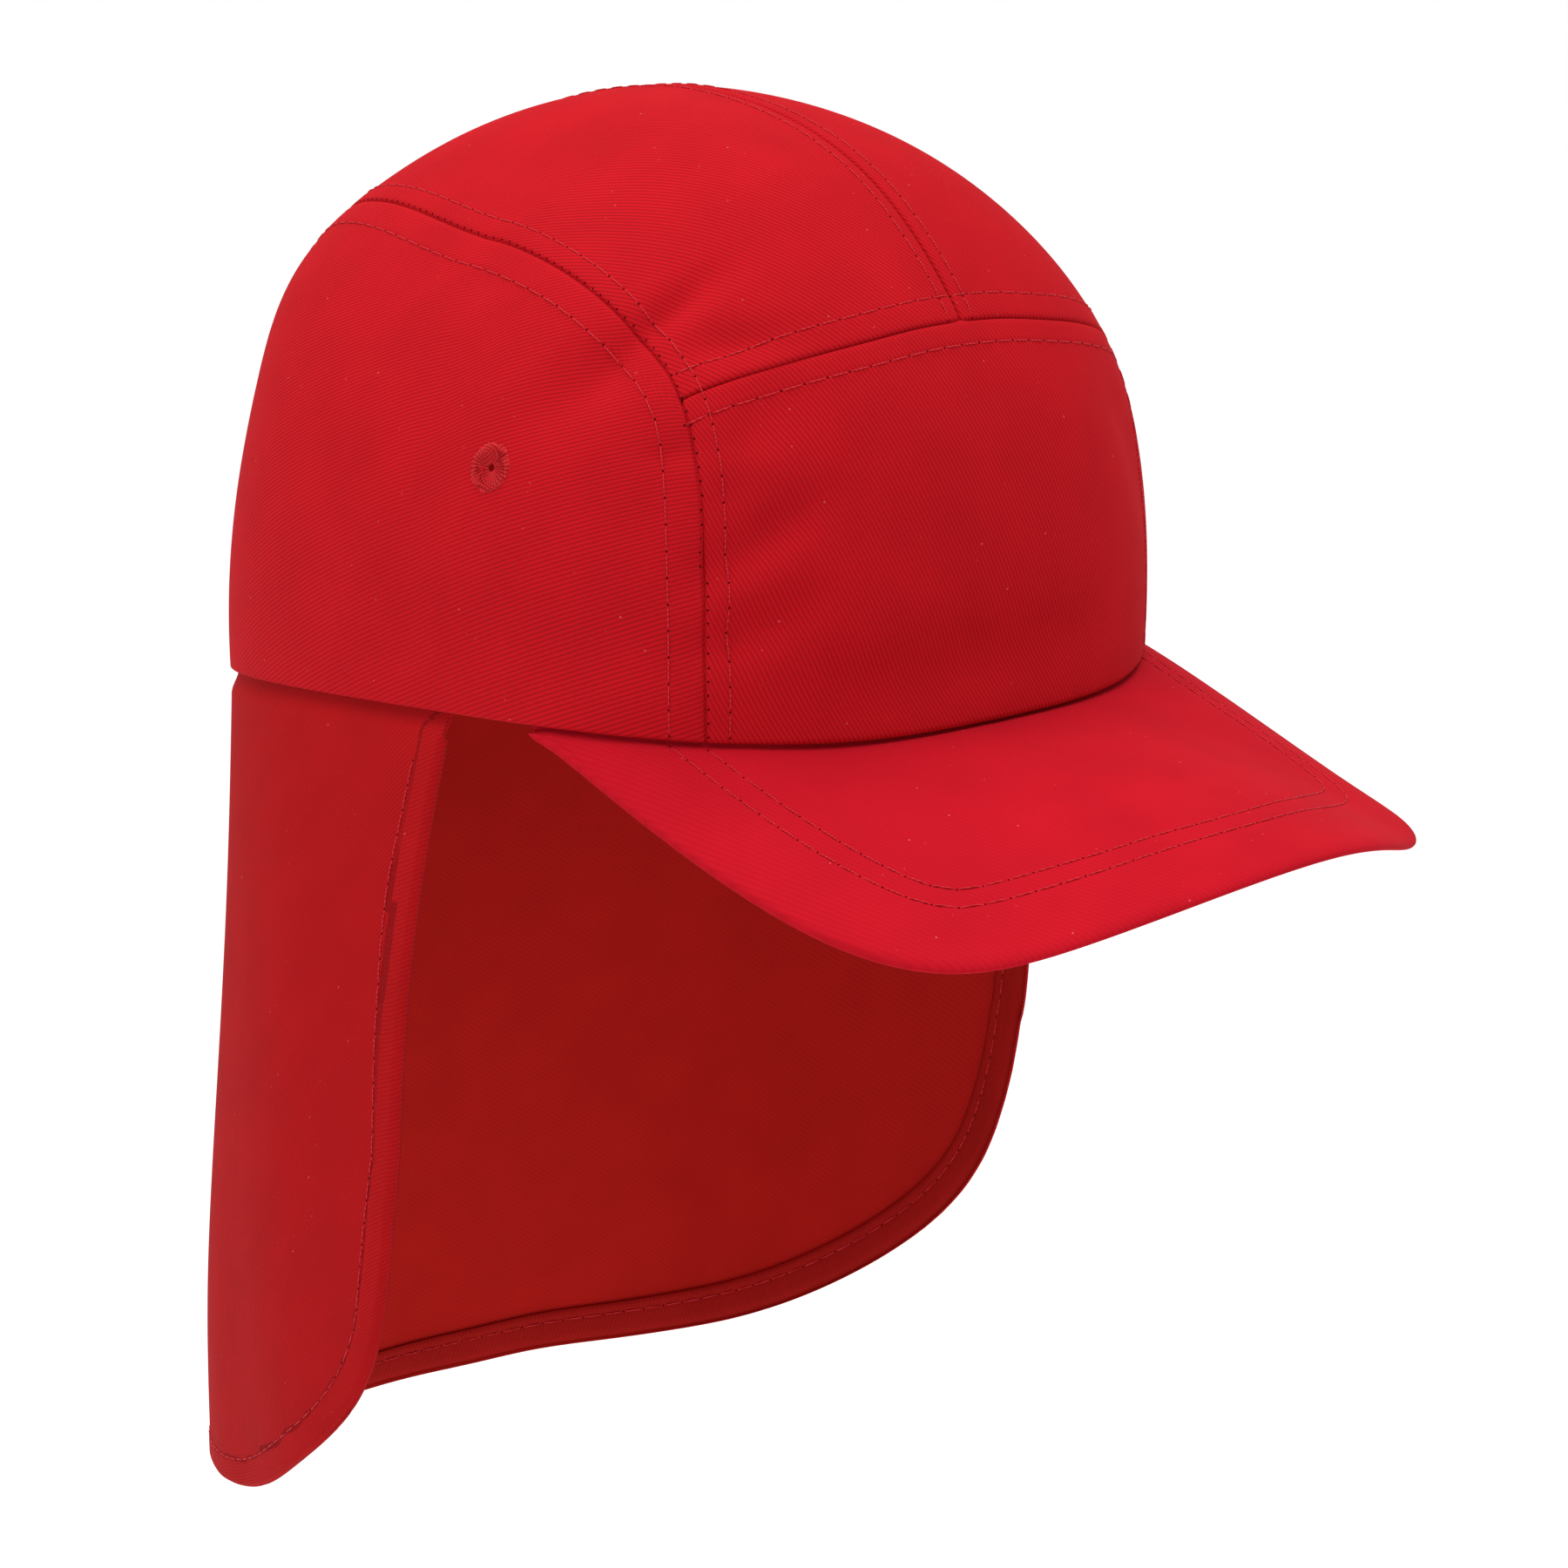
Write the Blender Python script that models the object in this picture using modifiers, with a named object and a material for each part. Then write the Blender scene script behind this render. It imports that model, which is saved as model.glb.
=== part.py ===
"""Legionnaire cap: a five panel cotton cap with a stiff peak and a neck flap, one object per piece.

Metres, +Z up. The peak points to -Y and the wearer's left is +X. The origin is the middle of the
head opening, at its widest section. A turn is an angle round the cap, 0 at the middle of the
forehead, 90 over the ear and 180 at the nape. A rise is the share of the way from the rim (0) to
the top of the crown (1).
"""

import math
from typing import NamedTuple

import bmesh
import bpy
import numpy as np
from mathutils import Matrix, Vector

MM = 0.001

# Head opening and crown
HALF_WIDTH = 85.5 * MM
FRONT_REACH = 78.4 * MM
BACK_REACH = 111.8 * MM
CROWN_HEIGHT = 115.5 * MM
FRONT_DIP = 6.5 * MM
BACK_DIP = 8.0 * MM
TOP_SETBACK = 9.5 * MM
DENT_DEPTH = 1.6 * MM

# Superellipse exponents: of the opening in plan, and of the crown's profile on each side
FRONT_SQUARENESS = 2.67
BACK_SQUARENESS = 2.25
SIDE_ROUNDNESS = 1.8
FRONT_ROUNDNESS = 2.44
BACK_ROUNDNESS = 2.4

# Cloth and its clearances
CLOTH = 1.2 * MM
SEAM_GAP = 0.4 * MM
FACE_GAP = 0.3 * MM

# Peak
PEAK_TURN = 71.8
PEAK_LENGTH = 78.7 * MM
PEAK_DROP = 36.5 * MM
PEAK_THICKNESS = 2.4 * MM
PEAK_TUCK = 3.0 * MM
PEAK_SWELL = 1.1 * MM

# Neck flap and its hem
FLAP_DEPTH = 197.0 * MM
FLAP_BELLY = 10.1 * MM
FLAP_SWING = 29.4 * MM
FOLD_HEIGHT = 2.0 * MM
FLAP_TUCK = 6.0 * MM
FLAP_STEP = 0.6 * MM
FLAP_STEP_DEPTH = 5.0 * MM
FLAP_LIP = 0.5 * MM
FLAP_CLEARANCE = 0.8 * MM
HEM_WIDTH = 9.0 * MM
HEM_THICKNESS = 0.9 * MM
HEM_SETBACK = 0.5 * MM
HEM_CLEARANCE = 0.5 * MM

# Embroidered eyelets
EYELET_TURN = 79.7
EYELET_RISE = 0.298
EYELET_RADIUS = 4.5 * MM
EYELET_BORE_RADIUS = 1.0 * MM
EYELET_PROUD = 0.4 * MM
EYELET_SIDES = 20


class Fullness(NamedTuple):
    """How far the crown swells past its superellipse, as a share of its radius there."""

    rise: float
    side: float
    front: float
    back: float
    shoulder: float


class SeamPoint(NamedTuple):
    """A point of a seam on the wearer's left, mirrored for the right."""

    turn: float
    rise: float


class PeakPoint(NamedTuple):
    """A point of the peak's outer edge, in shares of HALF_WIDTH, PEAK_LENGTH and PEAK_DROP."""

    across: float
    forward: float
    drop: float


class FlapPoint(NamedTuple):
    """A point of the flap's free edge: its turn and its share of FLAP_DEPTH."""

    turn: float
    depth: float


class Hang(NamedTuple):
    """How the flap leaves the plan of the rim, in shares of FLAP_BELLY and FLAP_SWING."""

    depth: float
    side: float
    back: float


class Fold(NamedTuple):
    """A soft fold down the flap: its turn, its half width in turn, its share of FOLD_HEIGHT."""

    turn: float
    spread: float
    height: float


class Dent(NamedTuple):
    """A soft dent of the crown: its place, its size and its share of DENT_DEPTH."""

    turn: float
    rise: float
    long: float
    wide: float
    lean: float
    depth: float


FULLNESS = (
    Fullness(rise=0.00, side=0.000, front=0.000, back=0.000, shoulder=0.000),
    Fullness(rise=0.17, side=0.034, front=0.041, back=0.002, shoulder=-0.015),
    Fullness(rise=0.33, side=0.069, front=0.076, back=0.006, shoulder=-0.001),
    Fullness(rise=0.50, side=0.084, front=0.065, back=0.012, shoulder=0.061),
    Fullness(rise=0.67, side=0.042, front=0.057, back=0.009, shoulder=0.044),
    Fullness(rise=0.83, side=0.017, front=0.034, back=0.005, shoulder=0.021),
    Fullness(rise=1.00, side=0.000, front=0.000, back=0.000, shoulder=0.000),
)

# The side seam climbs from the rim to the corner where three panels meet, runs back over the
# shoulder to a rounded corner and drops down the back to the rim
SIDE_SEAM = (
    SeamPoint(turn=43.0, rise=0.00),
    SeamPoint(turn=42.6, rise=0.16),
    SeamPoint(turn=43.0, rise=0.26),
    SeamPoint(turn=45.3, rise=0.348),
    SeamPoint(turn=51.4, rise=0.42),
    SeamPoint(turn=68.9, rise=0.519),
    SeamPoint(turn=87.4, rise=0.567),
    SeamPoint(turn=108.9, rise=0.60),
    SeamPoint(turn=137.9, rise=0.595),
    SeamPoint(turn=150.6, rise=0.54),
    SeamPoint(turn=157.0, rise=0.40),
    SeamPoint(turn=160.0, rise=0.20),
    SeamPoint(turn=160.5, rise=0.00),
)
FRONT_CORNER_ROW = 3
BACK_CORNER_ROW = 9

FRONT_SEAM = (
    SeamPoint(turn=0.0, rise=0.392),
    SeamPoint(turn=13.0, rise=0.382),
    SeamPoint(turn=30.0, rise=0.368),
    SeamPoint(turn=45.3, rise=0.348),
)

PEAK_EDGE = (
    PeakPoint(across=0.967, forward=-0.171, drop=0.449),
    PeakPoint(across=0.925, forward=0.350, drop=0.887),
    PeakPoint(across=0.826, forward=0.615, drop=1.000),
    PeakPoint(across=0.622, forward=0.773, drop=0.953),
    PeakPoint(across=0.000, forward=1.000, drop=0.688),
)

FLAP_EDGE = (
    FlapPoint(turn=85.6, depth=0.027),
    FlapPoint(turn=87.8, depth=0.217),
    FlapPoint(turn=90.0, depth=0.505),
    FlapPoint(turn=91.8, depth=0.620),
    FlapPoint(turn=98.2, depth=0.758),
    FlapPoint(turn=121.7, depth=0.924),
    FlapPoint(turn=146.0, depth=0.968),
    FlapPoint(turn=180.0, depth=0.994),
)
FLAP_CORNER_ROW = 4

HANG = (
    Hang(depth=0.00, side=0.000, back=0.000),
    Hang(depth=0.25, side=0.785, back=-0.067),
    Hang(depth=0.50, side=1.000, back=0.201),
    Hang(depth=0.75, side=0.640, back=0.641),
    Hang(depth=1.00, side=-0.196, back=1.000),
)

FLAP_FOLDS = (
    Fold(turn=-150.0, spread=9.0, height=1.0),
    Fold(turn=-122.0, spread=8.0, height=-0.8),
    Fold(turn=128.0, spread=10.0, height=1.1),
    Fold(turn=158.0, spread=9.0, height=-1.0),
)

CROWN_DENTS = (
    Dent(turn=-35.0, rise=0.27, long=0.16, wide=0.05, lean=35.0, depth=1.0),
    Dent(turn=-14.0, rise=0.20, long=0.16, wide=0.07, lean=-30.0, depth=0.62),
    Dent(turn=30.0, rise=0.24, long=0.14, wide=0.06, lean=-30.0, depth=0.75),
)

# Grid sizes, in cells
FRONT_CELLS = (18, 10)
TOP_CELLS = (9, 24)
SIDE_CELLS = (22, 10)
PEAK_CELLS = (30, 7)
FLAP_CELLS = (46, 15)
HEM_CELLS = (96, 2)

# A step on the crown's flat map, small enough to measure directions with
TINY = 1e-4


class Look(NamedTuple):
    """A material: its name, linear colour and roughness."""

    name: str
    colour: tuple
    roughness: float


CROWN_CLOTH = Look("crown_twill", (0.55, 0.009, 0.018), 0.85)
PEAK_CLOTH = Look("peak_twill", (0.60, 0.010, 0.020), 0.85)
FLAP_CLOTH = Look("flap_twill", (0.45, 0.010, 0.015), 0.88)
EYELET_THREAD = Look("eyelet_thread", (0.50, 0.008, 0.014), 0.6)


class Spline:
    """Natural cubic curve through rows of values at rising keys."""

    def __init__(self, keys, rows):
        self.keys = np.array(keys, float)
        self.rows = np.array(rows, float)
        gaps = np.diff(self.keys)
        slopes = np.diff(self.rows, axis=0) / gaps[:, None]
        system = np.eye(len(self.keys))
        bends = np.zeros_like(self.rows)
        for i in range(1, len(self.keys) - 1):
            system[i, i - 1:i + 2] = gaps[i - 1], 2.0 * (gaps[i - 1] + gaps[i]), gaps[i]
            bends[i] = 6.0 * (slopes[i] - slopes[i - 1])
        self.bends = np.linalg.solve(system, bends)

    def at(self, key):
        """The row's values at a key."""
        i = int(np.clip(np.searchsorted(self.keys, key, side="right") - 1, 0, len(self.keys) - 2))
        gap = self.keys[i + 1] - self.keys[i]
        far = (key - self.keys[i]) / gap
        near = 1.0 - far
        bend = (near ** 3 - near) * self.bends[i] + (far ** 3 - far) * self.bends[i + 1]
        return near * self.rows[i] + far * self.rows[i + 1] + bend * gap * gap / 6.0


def path(points):
    """Smooth curve through a few points, read by its share from 0 to 1."""
    points = np.array(points, float)
    steps = np.sqrt(np.linalg.norm(np.diff(points, axis=0), axis=1))
    keys = np.concatenate([[0.0], np.cumsum(steps)]) / steps.sum()
    return Spline(keys, points)


def stretch(curve, first_row=0, last_row=-1):
    """The part of a curve between two of its rows, read by its own share from 0 to 1."""
    first, last = curve.keys[first_row], curve.keys[last_row]
    return lambda share: curve.at(first + (last - first) * share)


def table(rows):
    """A table whose first column is its key, as a curve of its other columns."""
    return Spline([row[0] for row in rows], [row[1:] for row in rows])


FULLNESS_CURVE = table(FULLNESS)
HANG_CURVE = table(HANG)


def signed_power(value, power):
    """A power that keeps its base's sign."""
    return math.copysign(abs(value) ** power, value)


def plan_point(turn, grow_side=0.0, grow_length=0.0):
    """The head opening's outline in plan at a turn in degrees, grown outwards."""
    sideways = math.sin(math.radians(turn))
    forwards = math.cos(math.radians(turn))
    squareness = FRONT_SQUARENESS if forwards > 0.0 else BACK_SQUARENESS
    reach = FRONT_REACH if forwards > 0.0 else BACK_REACH
    x = (HALF_WIDTH + grow_side) * signed_power(sideways, 2.0 / squareness)
    y = -(reach + grow_length) * signed_power(forwards, 2.0 / squareness)
    return x, y


def rim_height(turn):
    """Height of the crown's lower edge at a turn in degrees."""
    forwards = math.cos(math.radians(turn))
    dip = FRONT_DIP if forwards > 0.0 else BACK_DIP
    return -dip * forwards * forwards


def map_point(turn, rise):
    """A place on the crown as a point of its flat map, a disc with the top in the middle."""
    radius = 1.0 - rise
    angle = math.radians(turn)
    return np.array([radius * math.sin(angle), -radius * math.cos(angle)])


def dent_depth(place):
    """How deep the crown's dents are at a point of its flat map."""
    depth = 0.0
    for dent in CROWN_DENTS:
        away = place - map_point(dent.turn, dent.rise)
        lean = math.radians(dent.turn + dent.lean)
        along = away @ (math.cos(lean), math.sin(lean))
        across = away @ (-math.sin(lean), math.cos(lean))
        depth += dent.depth * math.exp(-(along / dent.long) ** 2 - (across / dent.wide) ** 2)
    return depth * DENT_DEPTH


def crown_point(place):
    """The crown's outer face at a point of its flat map."""
    radius = min(math.hypot(*place), 1.0)
    turn = math.degrees(math.atan2(place[0], -place[1]))
    rise = 1.0 - radius
    sideways = math.sin(math.radians(turn)) ** 2
    forwards = math.cos(math.radians(turn))
    front = forwards > 0.0
    end_roundness = FRONT_ROUNDNESS if front else BACK_ROUNDNESS
    roundness = SIDE_ROUNDNESS * sideways + end_roundness * forwards ** 2
    power = 2.0 / (2.0 + (roundness - 2.0) * (1.0 - rise ** 4))
    full = Fullness(rise, *FULLNESS_CURVE.at(rise))
    swell = full.side * sideways + (full.front if front else full.back) * forwards ** 2
    if not front:
        swell += full.shoulder * 4.0 * sideways * abs(forwards) ** 3
    climb = rise * math.pi / 2.0
    inwards = max(math.cos(climb), 0.0) ** power * (1.0 + swell)
    upwards = math.sin(climb) ** power
    x, y = plan_point(turn)
    rim = rim_height(turn)
    out = Vector((x, y, 0.0)).normalized() if radius > TINY else Vector()
    point = Vector((x * inwards, y * inwards + TOP_SETBACK * (1.0 - inwards), 0.0))
    point.z = rim + (CROWN_HEIGHT - rim) * upwards
    return point - out * dent_depth(place)


def crown_rise(turn, height):
    """The rise at which the crown reaches a height above its rim."""
    sideways = math.sin(math.radians(turn)) ** 2
    end_roundness = FRONT_ROUNDNESS if math.cos(math.radians(turn)) > 0.0 else BACK_ROUNDNESS
    roundness = SIDE_ROUNDNESS * sideways + end_roundness * (1.0 - sideways)
    share = max(height, 0.0) / (CROWN_HEIGHT - rim_height(turn))
    return math.asin(share ** (roundness / 2.0)) * 2.0 / math.pi


def step_on_map(place, direction, distance):
    """A step on the crown's flat map that is a given distance on the crown itself."""
    unit = direction / np.linalg.norm(direction)
    moved = (crown_point(place + unit * TINY) - crown_point(place)).length
    return unit * TINY * distance / moved


def seam(rows):
    """A seam as a curve on the crown's flat map."""
    return path([map_point(row.turn, row.rise) for row in rows])


def front_seam():
    """The seam over the forehead, from the right-hand corner to the left-hand one."""
    return seam([SeamPoint(-row.turn, row.rise) for row in FRONT_SEAM[:0:-1]] + list(FRONT_SEAM))


def rim_arc(first_turn, last_turn):
    """The stretch of rim between two turns, as a curve on the flat map read by its share."""
    return lambda share: map_point(first_turn + (last_turn - first_turn) * share, 0.0)


def patch(bottom, right, top, left):
    """A panel's flat map between its four edges, each read by its share, clear of its seams.

    bottom and top run from the left edge to the right one, left and right from bottom to top.
    """
    def blended(u, v):
        sides = left(v) * (1.0 - u) + right(v) * u
        ends = bottom(u) * (1.0 - v) + top(u) * v
        low = bottom(0.0) * (1.0 - u) + bottom(1.0) * u
        high = top(0.0) * (1.0 - u) + top(1.0) * u
        return sides + ends - (low * (1.0 - v) + high * v)

    def clearance(edge, share, inwards):
        first, last = max(share - 0.01, 0.0), min(share + 0.01, 1.0)
        along = edge(last) - edge(first)
        normal = np.array([-along[1], along[0]]) * inwards
        return step_on_map(edge(share) * (1.0 - TINY), normal, SEAM_GAP / 2.0)

    def cleared(u, v):
        place = blended(u, v)
        place = place + clearance(left, v, -1.0) * (1.0 - u) + clearance(right, v, 1.0) * u
        place = place + clearance(bottom, u, 1.0) * (1.0 - v) + clearance(top, u, -1.0) * v
        return place

    return cleared


def grid_object(name, look, cells, surface, thickness, mirrored=False):
    """A cloth piece: a grid laid on surface(u, v), thickened inwards, on either side of the cap."""
    columns, rows = cells
    shell = bmesh.new()
    bmesh.ops.create_grid(shell, x_segments=columns, y_segments=rows, size=0.5)
    for vert in shell.verts:
        u, v = vert.co.x + 0.5, vert.co.y + 0.5
        point = surface(1.0 - u if mirrored else u, v)
        vert.co = (-point.x if mirrored else point.x, point.y, point.z)
    mesh = bpy.data.meshes.new(name)
    shell.to_mesh(mesh)
    shell.free()
    mesh.shade_smooth()
    piece = bpy.data.objects.new(name, mesh)
    parts.objects.link(piece)
    mesh.materials.append(material(look))
    thicken = piece.modifiers.new("Thickness", "SOLIDIFY")
    thicken.thickness = thickness
    thicken.offset = -1.0
    return piece


def material(look):
    """The look's Principled material, made once."""
    found = bpy.data.materials.get(look.name)
    if found:
        return found
    made = bpy.data.materials.new(look.name)
    made.use_nodes = True
    shader = made.node_tree.nodes["Principled BSDF"]
    shader.inputs["Base Color"].default_value = (*look.colour, 1.0)
    shader.inputs["Roughness"].default_value = look.roughness
    shader.inputs["Metallic"].default_value = 0.0
    made.diffuse_color = (*look.colour, 1.0)
    return made


def collection(name):
    """A new collection in the scene."""
    made = bpy.data.collections.new(name)
    bpy.context.scene.collection.children.link(made)
    return made


def make_front_panel():
    """The broad panel over the forehead, from side seam to side seam."""
    left_edge = stretch(seam(SIDE_SEAM), last_row=FRONT_CORNER_ROW)
    start = SIDE_SEAM[0].turn
    flat = patch(rim_arc(-start, start), left_edge, front_seam().at,
                 lambda share: left_edge(share) * (-1.0, 1.0))
    grid_object("front_panel", CROWN_CLOTH, FRONT_CELLS,
                lambda u, v: crown_point(flat(u, v)), CLOTH)


def make_top_panel(name, mirrored):
    """Half of the strip that runs from the forehead over the top to the nape."""
    middle_row = len(FRONT_SEAM) - 1
    front_edge = stretch(front_seam(), first_row=middle_row)
    outer_edge = stretch(seam(SIDE_SEAM), first_row=FRONT_CORNER_ROW)
    nape = map_point(180.0, 0.0)

    def centre_seam(share):
        return front_edge(0.0) * (1.0 - share) + nape * share

    flat = patch(front_edge, outer_edge, rim_arc(180.0, SIDE_SEAM[-1].turn), centre_seam)
    grid_object(name, CROWN_CLOTH, TOP_CELLS, lambda u, v: crown_point(flat(u, v)), CLOTH, mirrored)


def make_side_panel(name, mirrored):
    """The panel over the ear, with the hole of its eyelet."""
    whole = seam(SIDE_SEAM)
    front_edge = stretch(whole, last_row=FRONT_CORNER_ROW)
    top_edge = stretch(whole, FRONT_CORNER_ROW, BACK_CORNER_ROW)
    back_edge = stretch(whole, -1, BACK_CORNER_ROW)
    flat = patch(rim_arc(SIDE_SEAM[0].turn, SIDE_SEAM[-1].turn), back_edge, top_edge, front_edge)
    panel = grid_object(name, CROWN_CLOTH, SIDE_CELLS, lambda u, v: crown_point(flat(u, v)),
                        CLOTH, mirrored)
    bpy.ops.mesh.primitive_cylinder_add(vertices=EYELET_SIDES, radius=EYELET_RADIUS + FACE_GAP,
                                        depth=10.0 * CLOTH)
    cutter = bpy.context.object
    cutter.name = name + "_eyelet_hole"
    cutter.matrix_world = eyelet_frame(mirrored)
    cutter.display_type = "WIRE"
    cutter.hide_render = True
    for home in list(cutter.users_collection):
        home.objects.unlink(cutter)
    cutters.objects.link(cutter)
    cut = panel.modifiers.new("EyeletHole", "BOOLEAN")
    cut.operation = "DIFFERENCE"
    cut.solver = "EXACT"
    cut.object = cutter


def eyelet_frame(mirrored):
    """Where an eyelet sits: in the middle of the cloth, its axis along the crown's normal."""
    place = map_point(EYELET_TURN, EYELET_RISE)
    point = crown_point(place)
    along = crown_point(place + (TINY, 0.0)) - point
    across = crown_point(place + (0.0, TINY)) - point
    normal = along.cross(across).normalized()
    point -= normal * CLOTH / 2.0
    if mirrored:
        point.x, normal.x = -point.x, -normal.x
    return Matrix.Translation(point) @ normal.to_track_quat("Z", "Y").to_matrix().to_4x4()


def make_eyelet(name, mirrored):
    """A ring of thread round a small hole, a little proud of the cloth on both faces."""
    half = CLOTH / 2.0 + EYELET_PROUD
    edge = EYELET_PROUD
    outline = (
        (EYELET_RADIUS - edge, half),
        (EYELET_RADIUS, half - edge),
        (EYELET_RADIUS, edge - half),
        (EYELET_RADIUS - edge, -half),
        (EYELET_BORE_RADIUS + edge, -half),
        (EYELET_BORE_RADIUS, edge - half),
        (EYELET_BORE_RADIUS, half - edge),
        (EYELET_BORE_RADIUS + edge, half),
    )
    mesh = bpy.data.meshes.new(name)
    count = len(outline)
    mesh.from_pydata([(r, 0.0, z) for r, z in outline], [(i, (i + 1) % count) for i in range(count)], [])
    ring = bpy.data.objects.new(name, mesh)
    ring.matrix_world = eyelet_frame(mirrored)
    parts.objects.link(ring)
    mesh.materials.append(material(EYELET_THREAD))
    turned = ring.modifiers.new("Turned", "SCREW")
    turned.steps = turned.render_steps = EYELET_SIDES
    turned.use_merge_vertices = True
    turned.merge_threshold = 0.00001
    turned.use_smooth_shade = True


def make_peak():
    """The stiff peak: a curved sheet ruled from under the rim to its drooping outer edge."""
    end_x, end_y = plan_point(PEAK_TURN)
    half_edge = [(end_x, end_y, rim_height(PEAK_TURN) - FACE_GAP)]
    for row in PEAK_EDGE:
        forward = FRONT_REACH + PEAK_LENGTH * row.forward
        height = 0.8 * PEAK_THICKNESS - PEAK_DROP * row.drop
        half_edge.append((HALF_WIDTH * row.across, -forward, height))
    whole_edge = [(-x, y, z) for x, y, z in half_edge] + half_edge[-2::-1]
    outer_edge = path(whole_edge)

    def surface(u, v):
        turn = PEAK_TURN * (2.0 * u - 1.0)
        inner_x, inner_y = plan_point(turn, -PEAK_TUCK, -PEAK_TUCK)
        inner = Vector((inner_x, inner_y, rim_height(turn) - FACE_GAP))
        outer = Vector(outer_edge.at(u))
        from_end = 1.0 - (2.0 * u - 1.0) ** 2
        swell = PEAK_SWELL * 4.0 * v * (1.0 - v) * from_end
        return inner.lerp(outer, 1.0 - v) + Vector((0.0, 0.0, swell))

    grid_object("peak", PEAK_CLOTH, PEAK_CELLS, surface, PEAK_THICKNESS)


def flap_point(turn, height):
    """The flap's outer face at a turn and a height, tucked inside the crown above the rim."""
    rim = rim_height(turn)
    if height > rim:
        point = crown_point(map_point(turn, crown_rise(turn, height - rim)))
        inset = CLOTH + FLAP_CLEARANCE
        out = Vector((point.x, point.y, 0.0)).normalized()
        return point - out * inset
    depth = -height / FLAP_DEPTH
    hang = Hang(depth, *HANG_CURVE.at(max(depth, 0.0)))
    x, y = plan_point(turn, FLAP_BELLY * hang.side, FLAP_SWING * hang.back)
    below = min(max(rim - height - FLAP_LIP, 0.0) / (FLAP_STEP_DEPTH - FLAP_LIP), 1.0)
    settle = below * below * (3.0 - 2.0 * below)
    inset = (CLOTH + FLAP_CLEARANCE) * (1.0 - settle) + FLAP_STEP * settle
    for fold in FLAP_FOLDS:
        away = math.remainder(turn - fold.turn, 360.0) / fold.spread
        inset -= FOLD_HEIGHT * fold.height * max(depth, 0.0) * math.exp(-away * away)
    out = Vector((x, y, 0.0)).normalized()
    return Vector((x, y, height)) - out * inset


def flap_edge():
    """The flap's free edge from its left end round to its right end, in turns and depth shares."""
    half = [(row.turn / 180.0, row.depth) for row in FLAP_EDGE]
    return path(half + [(2.0 - turn, depth) for turn, depth in half[-2::-1]])


def flap_place(place):
    """Turn and height from a point of the flap's free edge."""
    return np.array([place[0] * 180.0, -FLAP_DEPTH * place[1]])


def make_flap():
    """The cloth that hangs from the rim round the sides and the back of the neck."""
    edge = flap_edge()
    left_edge = stretch(edge, last_row=FLAP_CORNER_ROW)
    right_edge = stretch(edge, -1, -1 - FLAP_CORNER_ROW)
    bottom_edge = stretch(edge, FLAP_CORNER_ROW, -1 - FLAP_CORNER_ROW)
    first_turn = FLAP_EDGE[0].turn
    tucked_share = 2.0 / FLAP_CELLS[1]

    def top_place(u):
        turn = first_turn + (360.0 - 2.0 * first_turn) * u
        return np.array([turn, rim_height(turn) - FLAP_DEPTH * FLAP_EDGE[0].depth])

    def surface(u, v):
        down = 1.0 - v
        top = top_place(u)
        if down < tucked_share:
            rim = rim_height(top[0])
            heights = rim + FLAP_TUCK, rim - FLAP_LIP, top[1]
            return flap_point(top[0], np.interp(down / tucked_share, (0.0, 0.5, 1.0), heights))
        down = (down - tucked_share) / (1.0 - tucked_share)
        sides = flap_place(left_edge(down)) * (1.0 - u) + flap_place(right_edge(down)) * u
        ends = top * (1.0 - down) + flap_place(bottom_edge(u)) * down
        high = top_place(0.0) * (1.0 - u) + top_place(1.0) * u
        low = flap_place(bottom_edge(0.0)) * (1.0 - u) + flap_place(bottom_edge(1.0)) * u
        return flap_point(*(sides + ends - (high * (1.0 - down) + low * down)))

    grid_object("neck_flap", FLAP_CLOTH, FLAP_CELLS, surface, CLOTH)


def make_flap_hem():
    """The folded edge of the flap, a band on its inner face along the sides and the bottom."""
    edge = flap_edge()
    step = 0.5 / HEM_CELLS[0]

    def surface(u, v):
        place = flap_place(edge.at(u))
        before = flap_place(edge.at(max(u - step, 0.0)))
        after = flap_place(edge.at(min(u + step, 1.0)))
        point = flap_point(*place)
        along = (flap_point(*after) - flap_point(*before)).normalized()
        by_turn = flap_point(place[0] + 1.0, place[1]) - point
        by_height = point - flap_point(place[0], place[1] - MM)
        normal = by_turn.cross(by_height).normalized()
        distance = HEM_SETBACK + (HEM_WIDTH - HEM_SETBACK) * v
        basis = Matrix((by_turn, by_height, normal)).transposed().inverted()
        turns, heights, _ = basis @ (normal.cross(along) * distance)
        height = min(place[1] + heights * MM, rim_height(place[0]) - FACE_GAP)
        return flap_point(place[0] + turns, height) - normal * (CLOTH + HEM_CLEARANCE)

    grid_object("flap_hem", FLAP_CLOTH, HEM_CELLS, surface, HEM_THICKNESS)


for old in list(bpy.data.objects):
    bpy.data.objects.remove(old, do_unlink=True)

parts = collection("legionnaire_cap")
cutters = collection("cutters")

make_front_panel()
for side_name, on_right in (("left", False), ("right", True)):
    make_top_panel("top_panel_" + side_name, on_right)
    make_side_panel("side_panel_" + side_name, on_right)
    make_eyelet("eyelet_" + side_name, on_right)
make_peak()
make_flap()
make_flap_hem()
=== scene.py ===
"""Legionnaire cap in red cotton twill, dressed for a studio photograph.

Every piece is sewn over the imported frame: five crown panels, a stiff peak, a hanging neck flap
with its folded hem, two embroidered eyelets and all the topstitching. Metres, +Z up, the peak
towards -Y and the wearer's left at +X. A turn is an angle round the cap, 0 at the middle of the
forehead and 180 at the nape, and a rise is the share of the way from the rim to the top.
"""

import logging
import math
from dataclasses import dataclass, field
from enum import Enum
from typing import Callable, Optional

import bmesh
import bpy
import numpy as np
from mathutils import Matrix, Vector
from mathutils.bvhtree import BVHTree
from mathutils.kdtree import KDTree


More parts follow.
